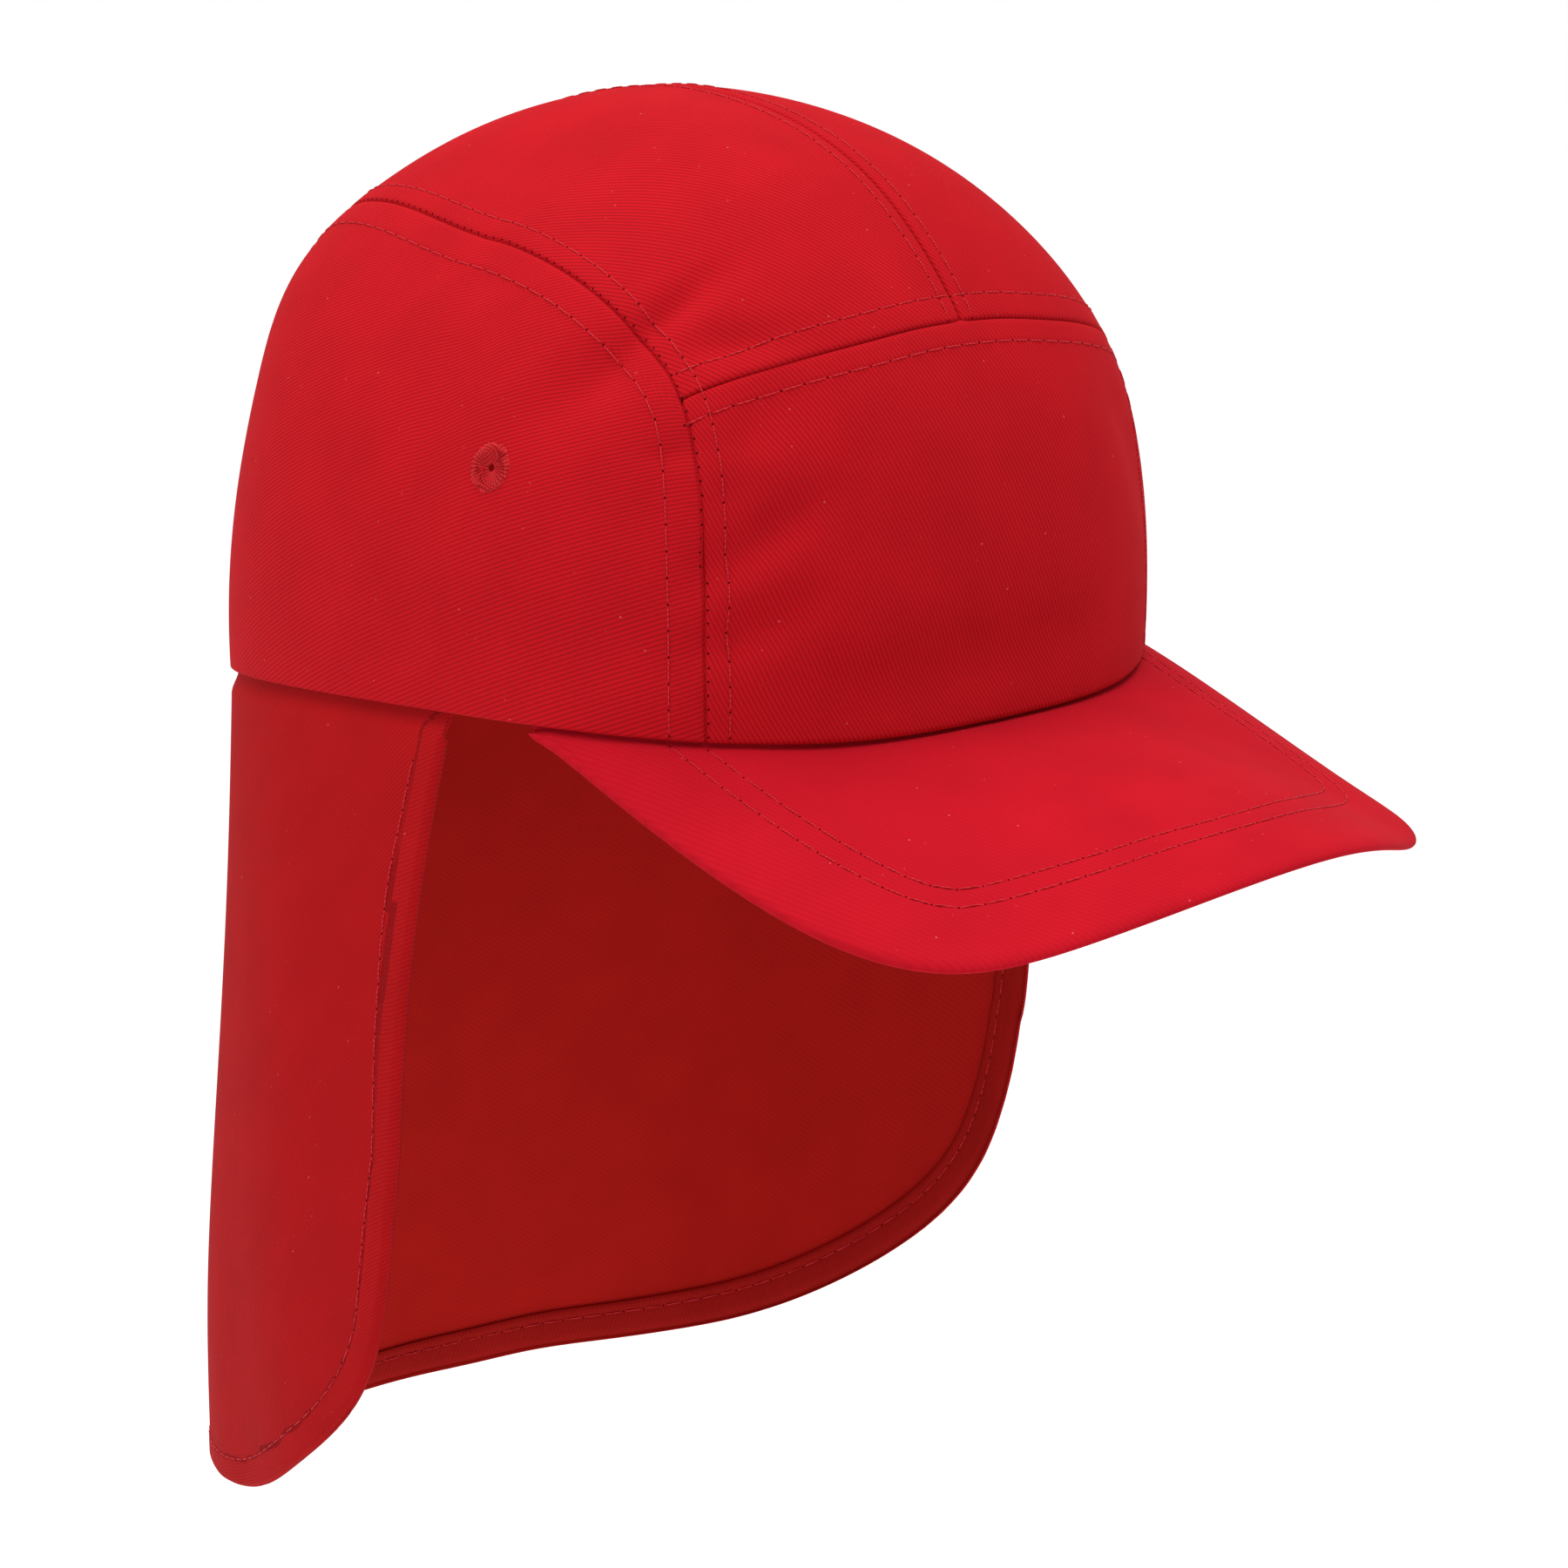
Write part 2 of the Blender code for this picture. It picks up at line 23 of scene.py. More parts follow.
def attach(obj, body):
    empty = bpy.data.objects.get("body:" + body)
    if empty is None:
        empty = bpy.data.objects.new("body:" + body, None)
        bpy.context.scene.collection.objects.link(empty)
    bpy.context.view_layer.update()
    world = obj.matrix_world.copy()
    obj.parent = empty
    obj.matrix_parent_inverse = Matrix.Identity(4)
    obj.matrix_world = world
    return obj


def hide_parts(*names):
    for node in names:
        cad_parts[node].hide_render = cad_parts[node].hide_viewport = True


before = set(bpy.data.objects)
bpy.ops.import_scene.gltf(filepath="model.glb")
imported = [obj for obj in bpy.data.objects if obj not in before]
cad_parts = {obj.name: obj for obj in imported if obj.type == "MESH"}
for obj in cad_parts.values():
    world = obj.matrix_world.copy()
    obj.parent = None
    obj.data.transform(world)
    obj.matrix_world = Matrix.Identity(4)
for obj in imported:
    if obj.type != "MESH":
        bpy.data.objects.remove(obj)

log = logging.getLogger("cap")
MM = 0.001
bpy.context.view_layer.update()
# scales that turn a point or a place of the wearer's left into one of the right
MIRROR = (-1.0, 1.0, 1.0)
FLAT_MIRROR = (-1.0, 1.0)
# length of one band of the wave texture at scale 1
WAVE_LENGTH = math.pi / 10.0
# points along a seam when distances from it are measured
SEAM_POINTS = 900
Places = np.ndarray
Points = np.ndarray
Socket = bpy.types.NodeSocket
Edge = Callable[[np.ndarray], np.ndarray]


class Side(Enum):
    """The wearer's side that a piece belongs to. Right-hand pieces mirror left-hand ones."""

    LEFT = "left"
    RIGHT = "right"


class Hold(Enum):
    STRETCHED = "stretched"
    HUNG = "hung"
    FOLDED = "folded"


# ---- Curves ----


class Curve:
    """A natural cubic curve through rows of values at rising keys."""

    def __init__(self, keys: np.ndarray, rows: np.ndarray) -> None:
        """Solves the curve.

        Args:
            keys: rising numbers, one for each row.
            rows: the values that the curve passes through.
        """
        self.keys = np.array(keys, float)
        self.rows = np.array(rows, float)
        gaps = np.diff(self.keys)
        slopes = np.diff(self.rows, axis=0) / gaps[:, None]
        system = np.eye(len(self.keys))
        bends = np.zeros_like(self.rows)
        for i in range(1, len(self.keys) - 1):
            system[i, i - 1:i + 2] = gaps[i - 1], 2.0 * (gaps[i - 1] + gaps[i]), gaps[i]
            bends[i] = 6.0 * (slopes[i] - slopes[i - 1])
        self.bends = np.linalg.solve(system, bends)

    def at(self, key: np.ndarray) -> np.ndarray:
        """The rows of values at some keys.

        Args:
            key: an array of keys of any shape.

        Returns:
            The values, with one more axis than key.
        """
        key = np.asarray(key, float)
        i = np.clip(np.searchsorted(self.keys, key, side="right") - 1, 0, len(self.keys) - 2)
        gap = (self.keys[i + 1] - self.keys[i])[..., None]
        far = (key[..., None] - self.keys[i][..., None]) / gap
        near = 1.0 - far
        bend = (near ** 3 - near) * self.bends[i] + (far ** 3 - far) * self.bends[i + 1]
        return near * self.rows[i] + far * self.rows[i + 1] + bend * gap * gap / 6.0

    def between(self, first: int = 0, last: int = -1) -> Edge:
        """The stretch of the curve from one row to another, read by its own share.

        Args:
            first: the row where the stretch starts.
            last: the row where it ends.

        Returns:
            A function of shares from 0 to 1.
        """
        start, end = self.keys[first], self.keys[last]
        return lambda share: self.at(start + (end - start) * np.asarray(share, float))


def path(points: np.ndarray) -> Curve:
    """A smooth curve through a few points, read by its share from 0 to 1."""
    points = np.array(points, float)
    steps = np.sqrt(np.linalg.norm(np.diff(points, axis=0), axis=1))
    return Curve(np.concatenate([[0.0], np.cumsum(steps)]) / steps.sum(), points)


def smooth(value: np.ndarray, start: float, end: float) -> np.ndarray:
    """A soft step from 0 at start to 1 at end."""
    share = np.clip((value - start) / (end - start), 0.0, 1.0)
    return share * share * (3.0 - 2.0 * share)


def swell(value: np.ndarray, middle: float, width: float) -> np.ndarray:
    """A soft hump of height 1 round a middle."""
    return np.exp(-((value - middle) / width) ** 2)


def unit(vectors: np.ndarray) -> np.ndarray:
    """The vectors at length 1, or 0 where they have no length."""
    lengths = np.linalg.norm(vectors, axis=-1, keepdims=True)
    return vectors / np.maximum(lengths, 1e-12)


def evenly(points: np.ndarray, pitch: float) -> np.ndarray:
    """Points along a polyline at an even pitch.

    Args:
        points: the polyline's points.
        pitch: the wanted distance, which is stretched a little to fit a whole number of times.

    Returns:
        The new points, both ends included.
    """
    run = np.concatenate([[0.0], np.cumsum(np.linalg.norm(np.diff(points, axis=0), axis=1))])
    marks = np.linspace(0.0, run[-1], max(int(round(run[-1] / pitch)), 1) + 1)
    return np.stack([np.interp(marks, run, points[:, i]) for i in range(points.shape[1])], axis=1)


def signed_power(value: np.ndarray, power: np.ndarray) -> np.ndarray:
    """A power that keeps its base's sign."""
    return np.sign(value) * np.abs(value) ** power


# ---- The cap's shape ----


@dataclass(frozen=True)
class Dent:
    """A soft dent of the crown (a swelling below 0): its place, half sizes, lean and depth.

    Turn and lean are in degrees. The half sizes of a plain dent are shares of the flat map.
    """

    turn: float
    rise: float
    long: float
    wide: float
    lean: float
    depth: float


@dataclass(frozen=True)
class CapShape:
    """The sizes that shape the rim and the crown, and the formulas that turn them into points."""

    half_width: float = 85.5 * MM
    front_reach: float = 78.4 * MM
    back_reach: float = 111.8 * MM
    crown_height: float = 115.5 * MM
    front_dip: float = 6.5 * MM
    back_dip: float = 8.0 * MM
    top_setback: float = 9.5 * MM
    front_squareness: float = 2.67
    back_squareness: float = 2.25
    side_roundness: float = 1.8
    front_roundness: float = 2.44
    back_roundness: float = 2.4
    # rise, then the swell at the side, the front, the back and the back shoulder
    fullness: tuple[tuple[float, ...], ...] = (
        (0.00, 0.000, 0.000, 0.000, 0.000),
        (0.17, 0.034, 0.041, 0.002, -0.015),
        (0.33, 0.069, 0.076, 0.006, -0.001),
        (0.50, 0.084, 0.065, 0.012, 0.061),
        (0.67, 0.042, 0.057, 0.009, 0.044),
        (0.83, 0.017, 0.034, 0.005, 0.021),
        (1.00, 0.000, 0.000, 0.000, 0.000),
    )
    # the side seam's turn and rise, from the rim over the ear and down the back
    side_seam_rows: tuple[tuple[float, float], ...] = (
        (43.0, 0.0), (42.6, 0.16), (43.0, 0.26), (45.3, 0.348), (51.4, 0.42), (68.9, 0.519),
        (87.4, 0.567), (108.9, 0.6), (137.9, 0.595), (150.6, 0.54), (157.0, 0.4),
        (160.0, 0.2), (160.5, 0.0),
    )
    front_corner: int = 3
    back_corner: int = 9
    front_seam_rows: tuple[tuple[float, float], ...] = (
        (0.0, 0.392), (13.0, 0.382), (30.0, 0.368), (45.3, 0.348),
    )
    dents: tuple[Dent, ...] = (
        Dent(-35.0, 0.27, 0.16, 0.05, 35.0, 1.6 * MM),
        Dent(-14.0, 0.20, 0.16, 0.07, -30.0, 1.0 * MM),
        Dent(30.0, 0.24, 0.14, 0.06, -30.0, 1.2 * MM),
    )

    def plan(self, turns: np.ndarray, side: np.ndarray = 0.0, length: np.ndarray = 0.0) -> Points:
        """The head opening's outline in plan.

        Args:
            turns: angles round the cap, in degrees.
            side: how far the outline grows sideways.
            length: how far it grows forwards and backwards.

        Returns:
            The x and y of each turn.
        """
        sideways, forwards = np.sin(np.radians(turns)), np.cos(np.radians(turns))
        front = forwards > 0.0
        squareness = np.where(front, self.front_squareness, self.back_squareness)
        reach = np.where(front, self.front_reach, self.back_reach)
        x = (self.half_width + side) * signed_power(sideways, 2.0 / squareness)
        y = -(reach + length) * signed_power(forwards, 2.0 / squareness)
        return np.stack([x, y], axis=-1)

    def rim(self, turns: np.ndarray) -> np.ndarray:
        """Height of the crown's lower edge at some turns."""
        forwards = np.cos(np.radians(turns))
        return -np.where(forwards > 0.0, self.front_dip, self.back_dip) * forwards ** 2

    @staticmethod
    def place(turns: np.ndarray, rises: np.ndarray) -> Places:
        """Places on the crown's flat map, a disc with the top of the crown in its middle."""
        radius, angle = 1.0 - np.asarray(rises, float), np.radians(turns)
        return np.stack([radius * np.sin(angle), -radius * np.cos(angle)], axis=-1)

    def dent_depth(self, places: Places) -> np.ndarray:
        """How deep the soft dents are at some places of the flat map."""
        depth = np.zeros(places.shape[:-1])
        for dent in self.dents:
            away = places - self.place(dent.turn, dent.rise)
            lean = math.radians(dent.turn + dent.lean)
            along = away @ np.array((math.cos(lean), math.sin(lean)))
            across = away @ np.array((-math.sin(lean), math.cos(lean)))
            depth += dent.depth * np.exp(-(along / dent.long) ** 2 - (across / dent.wide) ** 2)
        return depth

    def crown(self, places: Places) -> Points:
        """The crown's outer face at some places of the flat map."""
        radius = np.minimum(np.linalg.norm(places, axis=-1), 1.0)
        turns = np.degrees(np.arctan2(places[..., 0], -places[..., 1]))
        rise = 1.0 - radius
        sideways, forwards = np.sin(np.radians(turns)) ** 2, np.cos(np.radians(turns))
        front = forwards > 0.0
        end_roundness = np.where(front, self.front_roundness, self.back_roundness)
        roundness = self.side_roundness * sideways + end_roundness * forwards ** 2
        power = 2.0 / (2.0 + (roundness - 2.0) * (1.0 - rise ** 4))
        table = np.array(self.fullness)
        full = np.moveaxis(Curve(table[:, 0], table[:, 1:]).at(rise), -1, 0)
        swelling = full[0] * sideways + np.where(front, full[1], full[2]) * forwards ** 2
        swelling += np.where(front, 0.0, full[3] * 4.0 * sideways * np.abs(forwards) ** 3)
        climb = rise * math.pi / 2.0
        inwards = np.maximum(np.cos(climb), 0.0) ** power * (1.0 + swelling)
        upwards = np.sin(climb) ** power
        flat = self.plan(turns)
        rim = self.rim(turns)
        point = np.empty(places.shape[:-1] + (3,))
        point[..., 0] = flat[..., 0] * inwards
        point[..., 1] = flat[..., 1] * inwards + self.top_setback * (1.0 - inwards)
        point[..., 2] = rim + (self.crown_height - rim) * upwards
        out = unit(flat) * np.where(radius > 1e-4, self.dent_depth(places), 0.0)[..., None]
        point[..., :2] -= out
        return point

    def step(self, places: Places, direction: np.ndarray, distance: float) -> Places:
        """Steps on the flat map that are a given distance on the crown itself.

        Args:
            places: where the steps start.
            direction: which way each goes on the map.
            distance: its length on the cloth.

        Returns:
            The steps on the map.
        """
        small = 1e-4
        way = unit(direction)
        moved = np.linalg.norm(self.crown(places + way * small) - self.crown(places), axis=-1)
        return way * (small * distance / np.maximum(moved, 1e-9))[..., None]

    def beside(self, place: Places) -> list[Points]:
        """A point of the crown and its neighbours along both ways of the flat map."""
        steps = np.array(((0.0, 0.0), (1e-3, 0.0), (0.0, 1e-3)))
        return [self.crown(place + step) for step in steps]

    def side_seam(self) -> Curve:
        """The seam round the side panel on the wearer's left, on the flat map."""
        rows = np.array(self.side_seam_rows)
        return path(self.place(rows[:, 0], rows[:, 1]))

    def front_seam(self) -> Curve:
        """The seam over the forehead, from the right-hand corner to the left-hand one."""
        rows = np.array(self.front_seam_rows)
        rows = np.vstack([rows[:0:-1] * FLAT_MIRROR, rows])
        return path(self.place(rows[:, 0], rows[:, 1]))

    def centre_seam(self) -> Edge:
        """The seam along the middle, from the front seam over the top to the nape."""
        front = self.front_seam()
        start = front.at(front.keys[len(self.front_seam_rows) - 1])
        nape = self.place(180.0, 0.0)

        def line(share: np.ndarray) -> Places:
            share = np.asarray(share, float)[..., None]
            return start * (1.0 - share) + nape * share

        return line

    def rim_arc(self, first_turn: float, last_turn: float) -> Edge:
        """The stretch of rim between two turns, on the flat map."""
        return lambda share: self.place(
            first_turn + (last_turn - first_turn) * np.asarray(share, float),
            np.zeros_like(np.asarray(share, float)))

    def crown_rise(self, turns: np.ndarray, heights: np.ndarray) -> np.ndarray:
        """The rise at which the crown reaches a height above its rim."""
        sideways = np.sin(np.radians(turns)) ** 2
        end_roundness = np.where(np.cos(np.radians(turns)) > 0.0,
                                 self.front_roundness, self.back_roundness)
        roundness = self.side_roundness * sideways + end_roundness * (1.0 - sideways)
        share = np.maximum(heights, 0.0) / (self.crown_height - self.rim(turns))
        return np.arcsin(share ** (roundness / 2.0)) * 2.0 / math.pi


# ---- Finishes ----


def linear(code: str) -> tuple[float, float, float, float]:
    """A colour for a shader, from its sRGB hex code."""
    channels = [int(code[i:i + 2], 16) / 255.0 for i in (1, 3, 5)]
    return (*[c / 12.92 if c <= 0.04045 else ((c + 0.055) / 1.055) ** 2.4 for c in channels], 1.0)


def plug(tree: bpy.types.NodeTree, node: bpy.types.Node, **links: object) -> None:
    """Gives a node's inputs their values and links.

    Args:
        tree: the material's node tree.
        node: the node.
        links: a value or an output socket for each input: its name, spaces as underscores, or
            "in" and its number.
    """
    for name, value in links.items():
        socket = node.inputs[int(name[2:]) if name.startswith("in") else name.replace("_", " ")]
        if isinstance(value, bpy.types.NodeSocket):
            tree.links.new(value, socket)
        else:
            socket.default_value = value


def add_node(tree: bpy.types.NodeTree, kind: str, settings: Optional[dict] = None,
             **links: object) -> bpy.types.Node:
    """Adds a node to a tree with its settings, socket values and links.

    Args:
        tree: the material's node tree.
        kind: the node's type name.
        settings: the node's own properties.
        links: as in plug.

    Returns:
        The new node.
    """
    node = tree.nodes.new(kind)
    for name, value in (settings or {}).items():
        setattr(node, name, value)
    plug(tree, node, **links)
    return node


def bands(tree: bpy.types.NodeTree, vector: Socket, pitch: float, direction: str = "X",
          **links: object) -> Socket:
    """Soft bands across a vector, a pitch apart."""
    return add_node(tree, "ShaderNodeTexWave", {"bands_direction": direction}, Vector=vector,
                    Scale=WAVE_LENGTH / pitch, **links).outputs["Fac"]


def noise(tree: bpy.types.NodeTree, vector: Socket, scale: float, **links: object) -> Socket:
    """Cloudy noise with so many clouds to the metre."""
    return add_node(tree, "ShaderNodeTexNoise", Vector=vector, Scale=scale, **links).outputs["Fac"]


def reckon(tree: bpy.types.NodeTree, operation: str, **links: object) -> Socket:
    """One step of arithmetic on values and sockets."""
    return add_node(tree, "ShaderNodeMath", {"operation": operation}, **links).outputs[0]


def mapped(tree: bpy.types.NodeTree, value: Socket, start: float, end: float, low: float = 0.0,
           high: float = 1.0) -> Socket:
    """A value that runs from low to high while its source runs from start to end."""
    return add_node(tree, "ShaderNodeMapRange", Value=value, From_Min=start, From_Max=end,
                    To_Min=low, To_Max=high).outputs["Result"]


def blended(tree: bpy.types.NodeTree, share: Socket, first: object, second: object) -> Socket:
    """A colour between two others, each a colour or a socket."""
    return add_node(tree, "ShaderNodeMix", {"data_type": "RGBA"}, Factor=share, A=first,
                    B=second).outputs["Result"]


def bumped(tree: bpy.types.NodeTree, height: Socket, relief: float, **links: object) -> Socket:
    """A normal that follows a height, as deep as the relief."""
    return add_node(tree, "ShaderNodeBump", Height=height, Distance=relief,
                    **links).outputs["Normal"]


def blank(name: str) -> tuple[bpy.types.Material, bpy.types.NodeTree, bpy.types.Node]:
    """A new material with its tree and its Principled shader."""
    made = bpy.data.materials.new(name)
    made.use_nodes = True
    return made, made.node_tree, made.node_tree.nodes["Principled BSDF"]


def solid_place(tree: bpy.types.NodeTree) -> Socket:
    """The place on the object, in metres."""
    return add_node(tree, "ShaderNodeTexCoord").outputs["Object"]


@dataclass(frozen=True)
class CottonTwill:
    """Piece-dyed cotton drill, woven in a steep twill.

    The eye sees round wales a millimetre apart with dark gaps between them, a soft matt face with
    a little fuzz, faint cloudiness of the dye and a stray speck of lint. The gaps' dark colour is
    painted shade: the lower the weave, the darker its colour.
    """

    name: str
    # the colour of the wales' tops, and a darker colour that is painted shade in the gaps between
    # them
    wale: str
    gap: str
    wale_pitch: float = 0.93 * MM
    # real yarns are 0.3 mm apart, too fine to show, so the crossings are drawn at half a wale
    yarn_pitch: float = 0.46 * MM
    yarn_slant: float = 62.0
    # how far wales and yarns stray from straight lines
    wale_stray: float = 0.9
    yarn_stray: float = 0.6
    wale_relief: float = 0.06 * MM
    # how flat-topped the wales are, and how much yarns and fuzz add to their height
    wale_power: float = 0.45
    yarn_share: float = 0.22
    fuzz_share: float = 0.25
    # grains to the metre
    fuzz_scale: float = 2600.0
    cloud_scale: float = 55.0
    lint_scale: float = 330.0
    # how dark and how light the dye's clouds are
    cloudiness: tuple[float, float] = (0.94, 1.05)
    # how much lint there is, the size of a speck in its cell and how few cells have one
    lint: float = 1.0
    lint_size: tuple[float, float] = (0.035, 0.075)
    lint_rarity: tuple[float, float] = (0.55, 0.95)
    lint_colour: str = "#F2A49A"
    roughness: float = 0.9
    specular: float = 0.06
    sheen: float = 0.02
    sheen_roughness: float = 0.45
    sheen_colour: str = "#FF5A5A"

    def material(self) -> bpy.types.Material:
        """Builds the material. Its pattern runs along V of the piece's own cloth map."""
        made, tree, shader = blank(self.name)
        cloth = add_node(tree, "ShaderNodeUVMap", {"uv_map": "cloth"}).outputs["UV"]
        height = self.height(tree, cloth)
        # painted shade: the weave's height picks a colour from the gap's darker one up to the
        # wale's, so the hollows are painted darker
        shade = mapped(tree, height, self.fuzz_share, 1.0 + self.fuzz_share)
        weave_shaded = blended(tree, shade, linear(self.gap), linear(self.wale))
        clouds = noise(tree, cloth, self.cloud_scale, Detail=3.0)
        toned = add_node(tree, "ShaderNodeHueSaturation", Color=weave_shaded,
                         Value=mapped(tree, clouds, 0.3, 0.7, *self.cloudiness)).outputs["Color"]
        plug(tree, shader, Base_Color=self.linted(tree, cloth, toned),
             Normal=bumped(tree, height, self.wale_relief, Strength=1.0),
             Roughness=self.roughness, Specular_IOR_Level=self.specular,
             Sheen_Weight=self.sheen, Sheen_Roughness=self.sheen_roughness,
             Sheen_Tint=linear(self.sheen_colour))
        return made

    def height(self, tree: bpy.types.NodeTree, cloth: Socket) -> Socket:
        """The weave's height: rounded wales, the yarns that cross them, and fuzz. It gives the
        bump and the painted shade of the hollows.
        """
        wales = bands(tree, cloth, self.wale_pitch, Distortion=self.wale_stray, Detail=1.0,
                      Detail_Scale=0.22)
        slanted = add_node(tree, "ShaderNodeMapping", Vector=cloth,
                           Rotation=(0.0, 0.0, math.radians(self.yarn_slant))).outputs["Vector"]
        yarns = bands(tree, slanted, self.yarn_pitch, Distortion=self.yarn_stray, Detail=1.0,
                      Detail_Scale=0.3)
        fuzz = noise(tree, cloth, self.fuzz_scale, Detail=2.0)
        rounded = reckon(tree, "POWER", in0=wales, in1=self.wale_power)
        woven = reckon(tree, "MULTIPLY_ADD", in0=yarns, in1=self.yarn_share, in2=rounded)
        return reckon(tree, "MULTIPLY_ADD", in0=fuzz, in1=self.fuzz_share, in2=woven)

    def linted(self, tree: bpy.types.NodeTree, cloth: Socket, colour: Socket) -> Socket:
        """The colour with specks of lint in some cells of a scattered pattern."""
        cells = add_node(tree, "ShaderNodeTexVoronoi", Vector=cloth, Scale=self.lint_scale)
        speck = mapped(tree, cells.outputs["Distance"], *self.lint_size, 1.0, 0.0)
        chosen = mapped(tree, cells.outputs["Color"], *self.lint_rarity, 0.0, 0.5 * self.lint)
        lint = reckon(tree, "MULTIPLY", in0=speck, in1=chosen)
        return blended(tree, lint, colour, linear(self.lint_colour))


@dataclass(frozen=True)
class SpunThread:
    """Spun polyester sewing thread: a tight round yarn, a little glossier than the cloth."""

    name: str
    colour: str
    highlight: str
    ply: float = 0.5 * MM
    ply_relief: float = 0.04 * MM
    roughness: float = 0.6
    specular: float = 0.12

    def material(self) -> bpy.types.Material:
        """Builds the material, with slanting plies on Object coordinates."""
        made, tree, shader = blank(self.name)
        plies = bands(tree, solid_place(tree), self.ply, "DIAGONAL", Distortion=2.0)
        plug(tree, shader, Roughness=self.roughness, Specular_IOR_Level=self.specular,
             Base_Color=blended(tree, plies, linear(self.colour), linear(self.highlight)),
             Normal=bumped(tree, plies, self.ply_relief))
        return made


@dataclass(frozen=True)
class NeedleHole:
    """The shadow inside a needle hole: deep red, with no shine at all."""

    name: str = "needle_hole_shadow"
    colour: str = "#4A090C"
    fibre_colour: str = "#5A0C10"
    fibre_scale: float = 3000.0

    def material(self) -> bpy.types.Material:
        """Builds the material, with a fibrous break-up of the dark."""
        made, tree, shader = blank(self.name)
        fibres = noise(tree, solid_place(tree), self.fibre_scale)
        plug(tree, shader, Roughness=1.0, Specular_IOR_Level=0.0,
             Base_Color=blended(tree, fibres, linear(self.colour), linear(self.fibre_colour)))
        return made


@dataclass(frozen=True)
class StudioPaper:
    """Seamless background paper, matt and pale."""

    name: str = "studio_paper"
    colour: str = "#F6F6F6"
    grain_scale: float = 900.0
    grain_relief: float = 0.02 * MM
    roughness: float = 0.95

    def material(self) -> bpy.types.Material:
        """Builds the material, with the paper's faint grain."""
        made, tree, shader = blank(self.name)
        grain = noise(tree, solid_place(tree), self.grain_scale)
        plug(tree, shader, Base_Color=linear(self.colour), Roughness=self.roughness,
             Normal=bumped(tree, grain, self.grain_relief, Strength=0.2))
        return made


# ---- Laying cloth ----


def put(name: str, data: bpy.types.ID) -> bpy.types.Object:
    """Puts a new object into the scene."""
    made = bpy.data.objects.new(name, data)
    bpy.context.scene.collection.objects.link(made)
    return made


def make_piece(name: str, shell: bmesh.types.BMesh,
               *materials: bpy.types.Material) -> bpy.types.Object:
    """Turns a bmesh into a piece of the scene with its materials."""
    mesh = bpy.data.meshes.new(name)
    shell.to_mesh(mesh)
    shell.free()
    for dressing in materials:
        mesh.materials.append(dressing)
    return put(name, mesh)


def facing(direction: Vector) -> Matrix:
    """A turn that points +Z in a direction."""
    return direction.to_track_quat("Z", "Y").to_matrix().to_4x4()


def face_normals(points: Points) -> np.ndarray:
    """The outward direction at each point of a grid of points."""
    along = np.gradient(points, axis=1)
    across = np.gradient(points, axis=0)
    return unit(np.cross(along, across))


def cloth_map(points: Points, wale_angle: float) -> np.ndarray:
    """Flat cloth coordinates of a grid of points, in metres, turned so that V runs along a wale.

    Args:
        points: the grid, rows from the bottom up and columns from left to right.
        wale_angle: the wales' angle from the piece's own level line, in degrees.

    Returns:
        The U and V of each point.
    """
    level = np.linalg.norm(np.diff(points, axis=1), axis=-1)
    level = np.pad(np.cumsum(level, axis=1), ((0, 0), (1, 0)))
    level -= level[:, points.shape[1] // 2][:, None]
    climb = np.linalg.norm(np.diff(points, axis=0), axis=-1)
    climb = np.pad(np.cumsum(climb, axis=0), ((1, 0), (0, 0)))
    angle = math.radians(wale_angle - 90.0)
    u = level * math.cos(angle) + climb * math.sin(angle)
    v = climb * math.cos(angle) - level * math.sin(angle)
    return np.stack([u, v], axis=-1)


def spread(length: float, coarse: float, near: tuple[float, ...],
           far: tuple[float, ...]) -> np.ndarray:
    """Shares from 0 to 1 for grid lines that crowd where stitching and seams need them.

    Args:
        length: the panel's length in this direction.
        coarse: the spacing in its middle.
        near: distances from the first edge that get a line each.
        far: distances from the last edge that get one.

    Returns:
        The shares of all the lines, both edges included.
    """
    first, last = max(near), length - max(far)
    middle = np.linspace(first, last, max(int(round((last - first) / coarse)), 1) + 1)
    lines = np.concatenate([near, middle[1:-1], length - np.array(far)[::-1]])
    return np.sort(lines) / length


def seam_lines(row: float) -> tuple[float, ...]:
    """Distances from a seam that its rolled edge and its row of topstitching need lines at."""
    edge = (0.0, 0.12, 0.26, 0.42, 0.65, 1.0, 1.6, 2.4, 3.3)
    beside_row = (-0.9, -0.6, -0.3, 0.0, 0.3, 0.6, 0.9, 1.4, 2.0, 3.0)
    stitched = tuple(row / MM + away for away in beside_row)
    return tuple(distance * MM for distance in edge + stitched)


# distances that a plain folded edge needs lines at
FOLD_LINES = tuple(distance * MM for distance in (0.0, 0.3, 0.6, 1.0, 1.6, 2.4, 3.6))


def lay_grid(points: Points, cloth: np.ndarray) -> tuple[bmesh.types.BMesh, list]:
    """Lays a grid on points, with its cloth map.

    Args:
        points: where the grid goes, rows from the bottom up.
        cloth: the grid's cloth map.

    Returns:
        The grid, and the row and column of each of its vertices.
    """
    rows, columns = points.shape[0] - 1, points.shape[1] - 1
    shell = bmesh.new()
    bmesh.ops.create_grid(shell, x_segments=columns, y_segments=rows, size=0.5)
    weave = shell.loops.layers.uv.new("cloth")
    where = [(round((v.co.y + 0.5) * rows), round((v.co.x + 0.5) * columns)) for v in shell.verts]
    shell.verts.index_update()
    for vert, spot in zip(shell.verts, where):
        vert.co = points[spot]
    for face in shell.faces:
        face.smooth = True
        for corner in face.loops:
            corner[weave].uv = cloth[where[corner.vert.index]]
    return shell, where


